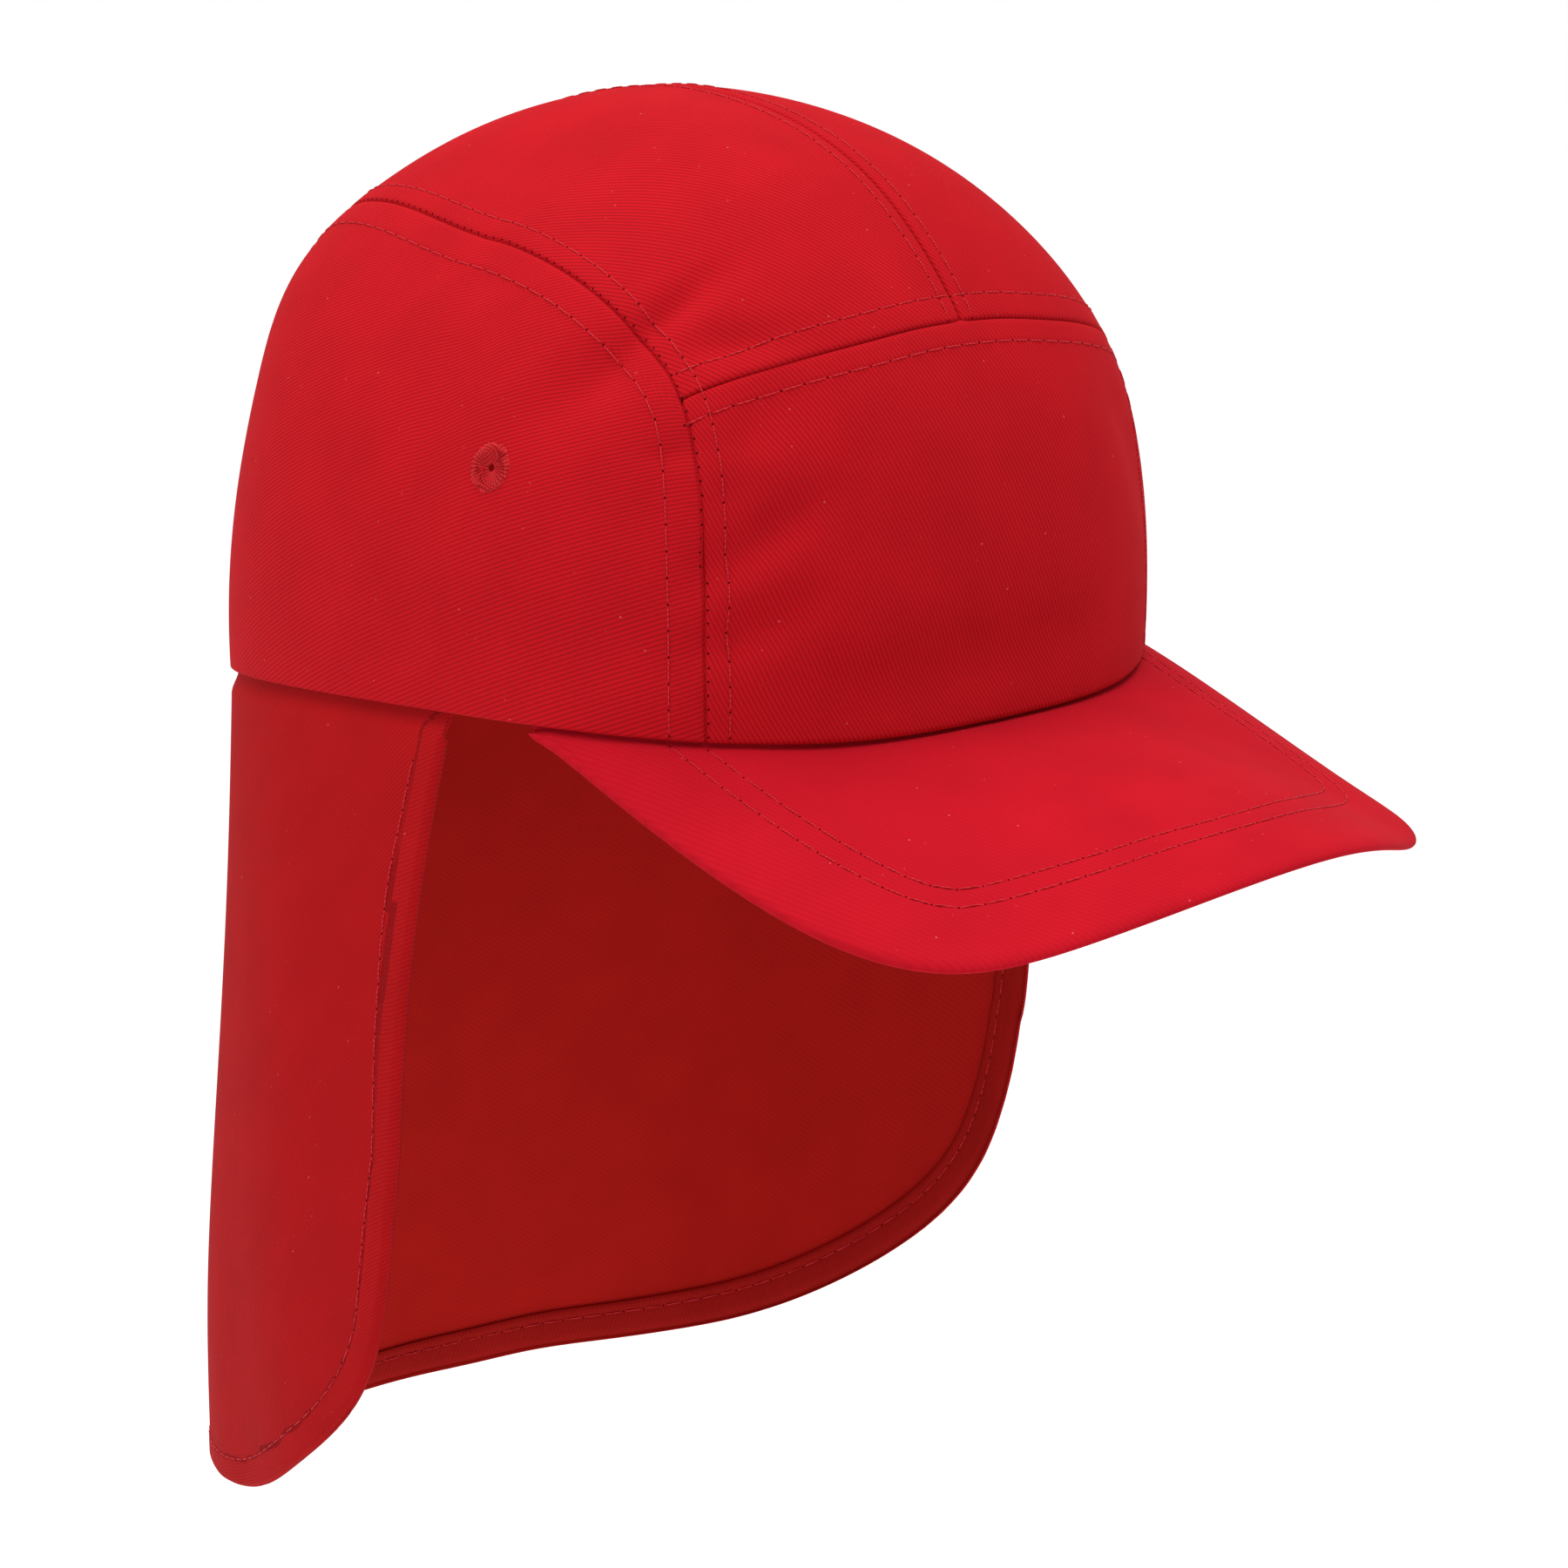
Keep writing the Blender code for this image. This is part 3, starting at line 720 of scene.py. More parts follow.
def finish_cloth(name: str, points: Points, cloth: np.ndarray, materials: list[bpy.types.Material],
                 thickness: float, hole: Optional[tuple[Vector, float]] = None,
                 normals: Optional[np.ndarray] = None) -> bpy.types.Object:
    """Makes a sheet of cloth: a grid laid on points, with its cloth map, thickened inwards.

    Args:
        name: the piece's name.
        points: where the grid goes, rows from the bottom up.
        cloth: the grid's cloth map.
        materials: the outer face's material, then the inner face's.
        thickness: the cloth's.
        hole: the middle and the radius of a hole to open, if there is one.
        normals: the outward direction at each point, where thin cells make the mesh's unsure.

    Returns:
        The new object.
    """
    shell, where = lay_grid(points, cloth)
    if hole:
        middle, radius = hole
        inside = [f for f in shell.faces if (f.calc_center_median() - middle).length < radius]
        bmesh.ops.delete(shell, geom=inside, context="FACES")
    if normals is not None:
        add_reverse(shell, {spot: normals[spot] * thickness for spot in where}, where)
    piece = make_piece(name, shell, *materials)
    if normals is None:
        thicken = piece.modifiers.new("Cloth", "SOLIDIFY")
        thicken.thickness = thickness
        thicken.offset = -1.0
        thicken.material_offset = 1
    return piece


def add_reverse(shell: bmesh.types.BMesh, steps: dict, where: list[tuple[int, int]]) -> None:
    """Gives a sheet its reverse side and closes the edge between the two.

    Args:
        shell: the sheet's outer face.
        steps: how far inwards the reverse lies at each grid spot.
        where: the grid spot of each vertex.
    """
    face_verts, rim = list(shell.verts), [e for e in shell.edges if e.is_boundary]
    copied = bmesh.ops.duplicate(shell, geom=shell.verts[:] + shell.edges[:] + shell.faces[:])
    twins = copied["vert_map"]
    for vert, spot in zip(face_verts, where):
        twins[vert].co = vert.co - Vector(steps[spot])
    back = [item for item in copied["geom"] if isinstance(item, bmesh.types.BMFace)]
    bmesh.ops.reverse_faces(shell, faces=back)
    for face in back:
        face.material_index = 1
    other_rim = [e for e in copied["geom"]
                 if isinstance(e, bmesh.types.BMEdge) and e.is_boundary]
    bmesh.ops.bridge_loops(shell, edges=rim + other_rim)


def nearest_distances(points: Points, line: Points) -> np.ndarray:
    """Distance of each point from a polyline with closely spaced points."""
    tree = KDTree(len(line))
    for index, spot in enumerate(line):
        tree.insert(spot, index)
    tree.balance()
    flat = points.reshape(-1, 3)
    return np.array([tree.find(p)[2] for p in flat]).reshape(points.shape[:-1])


@dataclass(frozen=True)
class SeamWork:
    """The relief that a seam and its topstitching give the cloth beside it."""

    roll_depth: float = 0.6 * MM
    roll_width: float = 0.28 * MM
    allowance: float = 0.2 * MM
    allowance_slope: float = 1.6 * MM
    channel_depth: float = 0.13 * MM
    channel_width: float = 0.55 * MM

    def roll(self, distance: np.ndarray) -> np.ndarray:
        """The cloth's height where its edge rolls down into the seam."""
        return -self.roll_depth * swell(distance, 0.0, self.roll_width)

    def puff(self, distance: np.ndarray, row: float) -> np.ndarray:
        """The cloth's height over the seam allowance, which ends at the row of stitches."""
        slope = self.allowance_slope
        return self.allowance * smooth(distance, 0.0, slope) * (
            1.0 - smooth(distance, row - 0.25 * slope, row + slope))

    def channel(self, distance: np.ndarray, row: float) -> np.ndarray:
        """The cloth's height where the row of stitches pulls it in."""
        return -self.channel_depth * swell(distance, row, self.channel_width)


@dataclass(frozen=True)
class StitchedEdge:
    """A seam or rim beside a panel: its line on the flat map and its row of stitches, if any.

    A flared edge leans outwards over the last stretch of cloth, where it spreads onto the peak.
    A sunk edge is drawn deeper into its seam than the others.
    """

    line: Edge
    row: float = 0.0
    sunk: float = 1.0
    flare: float = 0.0
    flare_height: float = 15.0 * MM


@dataclass(frozen=True)
class Pucker(Dent):
    """A crease that the seams pull into the cloth, in millimetres, on the wearer's right."""

    def dent(self, points: Points, shape: CapShape) -> np.ndarray:
        """How deep the crease is at some points of the crown."""
        middle, by_x, by_y = shape.beside(shape.place(self.turn, self.rise))
        normal = unit(np.cross(by_x - middle, by_y - middle))
        level = unit(np.cross(np.array((0.0, 0.0, 1.0)), normal))
        climb = np.cross(normal, level)
        lean = math.radians(self.lean)
        away = (points - middle) / MM
        along = away @ (level * math.cos(lean) + climb * math.sin(lean))
        across = away @ (climb * math.cos(lean) - level * math.sin(lean))
        depth = np.exp(-(along / self.long) ** 2 - (across / self.wide) ** 2)
        # the far side of the crown keeps out of it
        return self.depth * MM * np.where(away @ normal > -25.0, depth, 0.0)


PUCKERS: tuple[Pucker, ...] = (
    Pucker(-33.1, 0.185, 15.0, 4.3, 28.0, 2.9),
    Pucker(-34.1, 0.098, 12.0, 4.0, 18.0, 2.2),
    Pucker(-47.3, 0.460, 12.0, 3.6, 45.0, 2.4),
    Pucker(-34.2, 0.405, 12.0, 4.0, 5.0, 1.5),
    Pucker(-60.5, 0.392, 13.0, 6.5, 35.0, 2.3),
    Pucker(-35.5, 0.262, 7.0, 4.0, 10.0, -1.2),
    Pucker(-72.0, 0.095, 35.0, 8.0, 3.0, 1.8),
    Pucker(-47.3, 0.291, 5.0, 2.5, 5.0, 0.9),
    Pucker(-4.0, 0.037, 40.0, 8.0, 6.0, 1.6),
)


@dataclass
class CrownPanel:
    """One of the five panels of the crown, cut between its four edges and eased over the head."""

    name: str
    node: str
    shape: CapShape
    bottom: StitchedEdge
    right: StitchedEdge
    top: StitchedEdge
    left: StitchedEdge
    wale_angle: float
    outer: bpy.types.Material
    inner: bpy.types.Material
    side: Side = Side.LEFT
    eyelet: Optional[Vector] = None
    work: SeamWork = field(default_factory=SeamWork)
    coarse: float = 2.0 * MM
    cloth: float = 1.1 * MM
    eyelet_opening: float = 2.7 * MM
    # the width beside the side seams over which the rim's flare grows to its full size
    flare_fade: float = 30.0 * MM
    # the rolled edges lie on each other in the seam, so that no light comes through
    lap: float = 0.1 * MM

    def lines(self) -> tuple[np.ndarray, np.ndarray]:
        """Where the panel's grid lines go, as shares across and up."""
        shares = np.linspace(0.0, 1.0, 60)
        across = max(self.run(self.bottom, shares), self.run(self.top, shares))
        up = max(self.run(self.left, shares), self.run(self.right, shares))
        beside = [seam_lines(e.row) if e.row else FOLD_LINES
                  for e in (self.left, self.right, self.bottom, self.top)]
        return (spread(across, self.coarse, beside[0], beside[1]),
                spread(up, self.coarse, beside[2], beside[3]))

    def run(self, edge: StitchedEdge, shares: np.ndarray) -> float:
        """Length of an edge on the cloth."""
        points = self.shape.crown(edge.line(shares))
        return float(np.linalg.norm(np.diff(points, axis=0), axis=1).sum())

    def clearance(self, edge: StitchedEdge, shares: np.ndarray, inwards: float) -> Places:
        """Steps on the map that carry the panel's edge just over the seam line."""
        first, last = np.maximum(shares - 0.01, 0.0), np.minimum(shares + 0.01, 1.0)
        along = edge.line(last) - edge.line(first)
        normal = np.stack([-along[:, 1], along[:, 0]], axis=1) * inwards
        return self.shape.step(edge.line(shares) * (1.0 - 1e-4), normal, -self.lap / 2.0)

    def places(self) -> Places:
        """The panel's grid on the flat map, blended between its four edges."""
        across, up = self.lines()
        u, v = across[None, :, None], up[:, None, None]
        left, right = self.left.line(up)[:, None], self.right.line(up)[:, None]
        bottom, top = self.bottom.line(across)[None], self.top.line(across)[None]
        low = bottom[:, :1] * (1.0 - u) + bottom[:, -1:] * u
        high = top[:, :1] * (1.0 - u) + top[:, -1:] * u
        grid = left * (1.0 - u) + right * u + bottom * (1.0 - v) + top * v
        grid = grid - (low * (1.0 - v) + high * v)
        grid = grid + self.clearance(self.left, up, -1.0)[:, None] * (1.0 - u)
        grid = grid + self.clearance(self.right, up, 1.0)[:, None] * u
        grid = grid + self.clearance(self.bottom, across, 1.0)[None] * (1.0 - v)
        return grid + self.clearance(self.top, across, -1.0)[None] * v

    def relief(self, points: Points) -> np.ndarray:
        """How far the cloth stands off the plain crown: seams, allowances and stitch channels."""
        shares = np.linspace(0.0, 1.0, SEAM_POINTS)
        height = np.zeros(points.shape[:-1])
        puffed = np.zeros(points.shape[:-1])
        beside = smooth(np.minimum(*(nearest_distances(points, self.shape.crown(e.line(shares)))
                                     for e in (self.left, self.right))), 0.0, self.flare_fade)
        for edge in (self.bottom, self.right, self.top, self.left):
            away = nearest_distances(points, self.shape.crown(edge.line(shares)))
            height += self.work.roll(away) * edge.sunk
            height += edge.flare * beside * (1.0 - smooth(away, 0.0, edge.flare_height))
            if edge.row:
                puffed = np.maximum(puffed, self.work.puff(away, edge.row))
                height += self.work.channel(away, edge.row)
        worn = points * MIRROR if self.side is Side.RIGHT else points
        for pucker in PUCKERS:
            height -= pucker.dent(worn, self.shape)
        return height + puffed

    def build(self) -> bpy.types.Object:
        """Cuts, shapes and dresses the panel.

        Returns:
            The panel, riding on the cap's body in place of its CAD node.
        """
        points = self.shape.crown(self.places())
        points = points + face_normals(points) * self.relief(points)[..., None]
        if self.side is Side.RIGHT:
            points = points[:, ::-1] * MIRROR
        hole = (self.eyelet, self.eyelet_opening) if self.eyelet else None
        piece = finish_cloth(self.name, points, cloth_map(points, self.wale_angle),
                             [self.outer, self.inner], self.cloth, hole)
        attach(piece, "root")
        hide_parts(self.node)
        return piece


# ---- Topstitching ----


@dataclass
class Topstitching:
    """Rows of lockstitch: thread that arches from one needle hole to the next."""

    name: str
    slot: str
    thread: bpy.types.Material
    hole: bpy.types.Material
    pitch: float = 5.0 * MM
    radius: float = 0.15 * MM
    # how far the thread stands above the cloth, as a share of its radius
    seat: float = 0.8
    hole_radius: float = 0.26 * MM
    # the hole's dark dish: its depth and its floor's share of the radius
    hole_depth: float = 0.08 * MM
    hole_floor: float = 0.6
    dip: float = 0.22 * MM
    # how much slimmer the thread is where it enters the cloth
    pinch: float = 0.45
    prick_pitch: float = 2.7 * MM

    def template(self) -> bpy.types.Mesh:
        """One stitch along X, a unit long and of the thread's own radius."""
        stitch = bmesh.new()
        bmesh.ops.create_cone(stitch, cap_ends=True, segments=6, radius1=self.radius,
                              radius2=self.radius, depth=1.0)
        long_edges = [e for e in stitch.edges if abs(e.verts[0].co.z - e.verts[1].co.z) > 0.5]
        bmesh.ops.subdivide_edges(stitch, edges=long_edges, cuts=3)
        bmesh.ops.rotate(stitch, verts=stitch.verts, matrix=Matrix.Rotation(math.pi / 2.0, 3, "Y"))
        for vert in stitch.verts:
            arch = (2.0 * vert.co.x) ** 4
            vert.co.y *= 1.0 - self.pinch * arch
            vert.co.z = vert.co.z * (1.0 - self.pinch * arch) - self.dip * arch
        for face in stitch.faces:
            face.smooth = True
        mesh = bpy.data.meshes.new("stitch")
        stitch.to_mesh(mesh)
        stitch.free()
        return mesh

    def build(self, rows: list[Points], surface: BVHTree,
              pricked: tuple[Points, ...] = ()) -> None:
        """Sews the rows onto a surface: one piece of thread and one of needle holes.

        Args:
            rows: polylines close to the surface.
            surface: the cloth that the stitches lie on.
            pricked: seam lines, where only the needle's pricks of the joining seam show.
        """
        thread, holes = bmesh.new(), bmesh.new()
        stitch = self.template()
        for row in rows:
            marks = [surface.find_nearest(Vector(spot))[:2] for spot in evenly(row, self.pitch)]
            for (start, up), (end, next_up) in zip(marks, marks[1:]):
                middle, normal, _, _ = surface.find_nearest((start + end) / 2.0)
                lift = max((middle - (start + end) / 2.0).dot(normal), 0.0)
                self.lay(thread, stitch, start, end, (up + next_up + normal).normalized(), lift)
            for spot, normal in marks:
                self.punch(holes, spot, normal)
        for row in pricked:
            for spot in evenly(row, self.prick_pitch):
                self.punch(holes, *surface.find_nearest(Vector(spot))[:2])
        bpy.data.meshes.remove(stitch)
        self.close(thread, self.name, self.thread)
        self.close(holes, self.name + "_holes", self.hole)

    def lay(self, thread: bmesh.types.BMesh, stitch: bpy.types.Mesh, start: Vector, end: Vector,
            up: Vector, lift: float) -> None:
        """Lays one stitch from a hole to the next, bowed over the cloth between them."""
        count = len(thread.verts)
        thread.from_mesh(stitch)
        thread.verts.ensure_lookup_table()
        along = end - start
        length = along.length
        along.normalize()
        aside = up.cross(along).normalized()
        turned = Matrix((along, aside, along.cross(aside))).transposed()
        for vert in thread.verts[count:]:
            share = vert.co.x
            local = Vector((share * length, vert.co.y, vert.co.z))
            local.z += self.radius * self.seat + lift * (1.0 - 4.0 * share * share)
            vert.co = (start + end) / 2.0 + turned @ local

    def punch(self, holes: bmesh.types.BMesh, spot: Vector, normal: Vector) -> None:
        """Marks a needle hole with a small dark dish of shadow."""
        frame_at = Matrix.Translation(spot + normal * 0.03 * MM) @ facing(normal)
        bmesh.ops.create_cone(holes, cap_ends=True, segments=8, radius1=self.hole_radius,
                              radius2=self.hole_radius * self.hole_floor,
                              depth=self.hole_depth, matrix=frame_at)

    def close(self, sewn: bmesh.types.BMesh, name: str, material: bpy.types.Material) -> None:
        """Turns a bmesh into a finished piece on the cap's body."""
        piece = make_piece(name, sewn, material)
        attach(piece, "root")


# ---- Eyelets ----


@dataclass
class Eyelet:
    """An embroidered eyelet: satin stitches wound round a small hole, proud of both faces."""

    name: str
    shape: CapShape
    thread: bpy.types.Material
    side: Side
    turn: float = 78.9
    rise: float = 0.295
    radius: float = 5.0 * MM
    bore: float = 0.7 * MM
    cloth: float = 1.2 * MM
    proud: float = 0.5 * MM
    windings: int = 34
    steps_per_winding: int = 6
    # the section: a power below 1 makes it blunter than round, and the funnel lowers it inwards
    bluntness: float = 0.75
    funnel: float = 0.38
    # how deep the valleys between the satin stitches are, as a share of the height
    ridge: float = 0.32
    # how unevenly the stitches lie side by side: waves round the ring and their size
    sway: tuple[float, float] = (5.0, 0.8)
    # how far the outer ends of the stitches wander: waves round the ring, size and start
    ragged: tuple[tuple[float, float, float], ...] = ((7.0, 0.06, 1.0), (17.0, 0.05, 0.0))

    def frame(self) -> Matrix:
        """Where the eyelet sits, its axis along the cloth's outward direction."""
        point, along, across = (
            Vector(spot) for spot in self.shape.beside(self.shape.place(self.turn, self.rise)))
        normal = (along - point).cross(across - point).normalized()
        point -= normal * self.cloth / 2.0
        if self.side is Side.RIGHT:
            point.x, normal.x = -point.x, -normal.x
        return Matrix.Translation(point) @ facing(normal)

    def build(self) -> bpy.types.Object:
        """Winds the eyelet: a full spin of its section, ridged by its satin stitches.

        Returns:
            The eyelet, in place of its CAD node.
        """
        ring = bmesh.new()
        width, height = (self.radius - self.bore) / 2.0, self.cloth / 2.0 + self.proud
        bmesh.ops.create_circle(ring, segments=18, radius=1.0)
        middle = (self.radius + self.bore) / 2.0
        for vert in ring.verts:
            flat = float(signed_power(vert.co.y, self.bluntness))
            funnel = 1.0 - self.funnel + self.funnel * vert.co.x
            vert.co = (middle + vert.co.x * width, 0.0, flat * height * funnel)
        bmesh.ops.spin(ring, geom=ring.verts[:] + ring.edges[:], cent=(0.0, 0.0, 0.0),
                       axis=(0.0, 0.0, 1.0), angle=2.0 * math.pi, use_merge=True,
                       steps=self.windings * self.steps_per_winding)
        bmesh.ops.remove_doubles(ring, verts=ring.verts, dist=0.002 * MM)
        for vert in ring.verts:
            angle = math.atan2(vert.co.y, vert.co.x)
            sway = self.sway[1] * math.sin(self.sway[0] * angle)
            ridge = 1.0 + self.ridge * math.cos(self.windings * angle + sway)
            ragged = 1.0
            for waves, size, start in self.ragged:
                ragged += size * math.sin(waves * angle + start)
            away = math.hypot(vert.co.x, vert.co.y)
            new_away = middle + (away - middle) * (ragged if away > middle else 1.0)
            vert.co.x *= new_away / away
            vert.co.y *= new_away / away
            vert.co.z *= ridge
        bmesh.ops.recalc_face_normals(ring, faces=ring.faces)
        for face in ring.faces:
            face.smooth = True
        bmesh.ops.transform(ring, matrix=self.frame(), verts=ring.verts)
        piece = make_piece(self.name, ring, self.thread)
        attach(piece, "root")
        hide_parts("eyelet_" + self.side.value)
        return piece


# ---- Peak ----


@dataclass
class Peak:
    """The stiff peak: twill drawn over a board, rolled round its outer edge."""

    shape: CapShape
    cover: bpy.types.Material
    end_turn: float = 71.8
    length: float = 78.7 * MM
    drop: float = 36.5 * MM
    thickness: float = 2.4 * MM
    tuck: float = 1.65 * MM
    allowance: float = 5.0 * MM
    allowance_thickness: float = 1.0 * MM
    allowance_lines: tuple[float, ...] = (0.97, 0.8, 0.6, 0.4, 0.2, 0.06)
    arch: float = 1.5 * MM
    face_gap: float = 0.3 * MM
    # worn caps hang a little askew: the left-hand side of the peak rides higher
    lean: float = 1.1 * MM
    sag: float = 0.3 * MM
    # how far in the rolled edge begins
    roll: float = 3.0 * MM
    roll_lines: int = 15
    # the grid's columns and lines, how much its columns crowd at the ends, and the share of the
    # length over which each end thins out
    columns: int = 141
    lines: int = 64
    crowding: float = 0.35
    end_share: float = 0.02
    channel_depth: float = 0.18 * MM
    channel_width: float = 0.6 * MM
    # the outer edge's share across, forwards and down, from its end to the middle
    edge_rows: tuple[tuple[float, float, float], ...] = (
        (0.967, -0.171, 0.449), (0.925, 0.350, 0.887), (0.826, 0.615, 1.000),
        (0.622, 0.773, 0.953), (0.000, 1.000, 0.688),
    )
    stitch_rows: tuple[float, ...] = (16.0 * MM, 21.0 * MM)
    wale_angle: float = 105.0

    def outer_edge(self) -> Curve:
        """The peak's outer edge, from the right-hand end to the left-hand one."""
        x, y = self.shape.plan(np.array(self.end_turn))
        rows = [(x, y, float(self.shape.rim(self.end_turn)) - self.face_gap)]
        for across, forward, down in self.edge_rows:
            rows.append((self.shape.half_width * across,
                         -(self.shape.front_reach + self.length * forward),
                         0.8 * self.thickness - self.drop * down))
        half = np.array(rows)
        edge = np.vstack([half * MIRROR, half[-2::-1]])
        edge[1:-1, 2] += self.lean * edge[1:-1, 0] / self.shape.half_width - self.sag
        return path(edge)

    def face(self, u: np.ndarray, v: np.ndarray) -> Points:
        """The peak's upper face, from its outer edge (v 0) to its inner one (v 1)."""
        turns = self.end_turn * (2.0 * u - 1.0)
        flat = self.shape.plan(turns, -self.tuck, -self.tuck)
        inner = np.concatenate([flat, (self.shape.rim(turns) - self.face_gap)[..., None]], axis=-1)
        outer = self.outer_edge().at(u)
        from_end = 1.0 - (2.0 * u - 1.0) ** 2
        points = inner * v[..., None] + outer * (1.0 - v)[..., None]
        points[..., 2] += self.arch * 4.0 * v * (1.0 - v) * from_end
        return points

    def skin(self, top: Points, taper: np.ndarray,
             edge_away: np.ndarray) -> tuple[Points, Points, Points]:
        """The cover's two faces and the roll that joins them round the outer edge.

        Args:
            top: the plain upper face, from its inner edge to its outer one.
            taper: the peak's fullness along it, 0 at both ends.
            edge_away: each point's distance from the outer edge.

        Returns:
            The upper face, the roll and the lower face.
        """
        outwards = unit(top[-1] - top[-3])
        up = face_normals(top[::-1])[::-1]
        tall = self.thickness / 2.0
        widths = np.linalg.norm(top[0] - top[-1], axis=-1)
        roll = np.minimum(self.roll, widths * 0.4) * taper
        span = np.linalg.norm(top - top[-1], axis=-1)
        pull = np.minimum(span / np.maximum(roll, 1e-6), 1.0)
        core = top - outwards[None] * ((1.0 - pull) * roll)[..., None] - up * tall
        thin = np.broadcast_to(tall * taper, top.shape[:2])
        rolled = [core[-1] + outwards * (np.sin(a) * roll)[..., None]
                  + up[-1] * (np.cos(a) * tall * taper)[..., None]
                  for a in np.linspace(0.0, math.pi, self.roll_lines)[1:-1]]
        channel = sum(swell(edge_away, row, self.channel_width)
                      for row in self.stitch_rows) * self.channel_depth
        upper = core + up * (thin - channel)[..., None]
        return upper, np.stack(rolled), core - up * thin[..., None]

    def build(self) -> tuple[bpy.types.Object, list[Points]]:
        """Draws the cover over the board: top, rolled edge and underside in one closed skin.

        Returns:
            The peak, and the lines of its topstitching.
        """
        even = np.linspace(0.0, 1.0, self.columns)
        crowded = 0.5 - 0.5 * np.cos(math.pi * even)
        u = self.crowding * crowded + (1.0 - self.crowding) * even
        taper = np.minimum(np.minimum(u, 1.0 - u) / self.end_share, 1.0) ** 0.5
        top = np.stack([self.face(u, np.full_like(u, v))
                        for v in np.linspace(1.0, 0.0, self.lines)])
        edge_line = self.outer_edge().at(np.linspace(0.0, 1.0, SEAM_POINTS))
        edge_away = nearest_distances(top, edge_line)
        upper, rolled, lower = self.skin(top, taper, edge_away)
        outer_side, inner_side = self.turned_up(u, taper)
        skin = np.concatenate([outer_side, upper, rolled, lower[::-1], inner_side[::-1]])[::-1]
        lean = math.radians(self.wale_angle - 90.0)
        cloth = skin[..., :2] @ np.array(((math.cos(lean), -math.sin(lean)),
                                          (math.sin(lean), math.cos(lean))))
        shell, _ = lay_grid(skin, cloth)
        bmesh.ops.remove_doubles(shell, verts=shell.verts, dist=0.01 * MM)
        bmesh.ops.dissolve_degenerate(shell, edges=shell.edges, dist=0.005 * MM)
        bmesh.ops.holes_fill(shell, edges=shell.edges, sides=0)
        bmesh.ops.recalc_face_normals(shell, faces=shell.faces)
        piece = make_piece("peak_cover", shell, self.cover)
        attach(piece, "root")
        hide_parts("peak")
        return piece, self.rows(upper, edge_away) + self.rows(lower, edge_away)

    def turned_up(self, u: np.ndarray, taper: np.ndarray) -> tuple[Points, Points]:
        """The seam allowance, turned up inside the crown: it closes the seam to the eye.

        Args:
            u: shares along the peak, from end to end.
            taper: its fullness at each of them, 0 at both ends.

        Returns:
            Its outer side and its inner side, from the raw edge down to the peak.
        """
        turns = self.end_turn * (2.0 * u - 1.0)
        rim = self.shape.rim(turns)

        def row(inset: float, height: np.ndarray) -> Points:
            flat = self.shape.plan(turns, -inset, -inset)
            return np.concatenate([flat, height[:, None]], axis=1)

        raw_edge = row(self.tuck + self.allowance_thickness / 2.0, rim + self.allowance * taper)
        outer, inner = ([raw_edge] + [row(inset, rim + self.allowance * share * taper)
                                      for share in self.allowance_lines]
                        for inset in (self.tuck, self.tuck + self.allowance_thickness))
        inner.append(row(self.tuck + self.allowance_thickness,
                         rim - self.face_gap - 0.8 * self.thickness * taper))
        return np.stack(outer), np.stack(inner)

    def rows(self, side: Points, edge_away: np.ndarray) -> list[Points]:
        """The lines of topstitching, each at its own distance from the outer edge.

        Args:
            side: one side of the peak, from its inner edge to its outer one.
            edge_away: each point's distance from the outer edge.

        Returns:
            A polyline for each row.
        """
        side, columns = side[::-1], edge_away[::-1].T
        return [np.array([[np.interp(distance, away, side[:, column, i]) for i in range(3)]
                          for column, away in enumerate(columns) if away.max() > distance])
                for distance in self.stitch_rows]


# ---- Neck flap ----


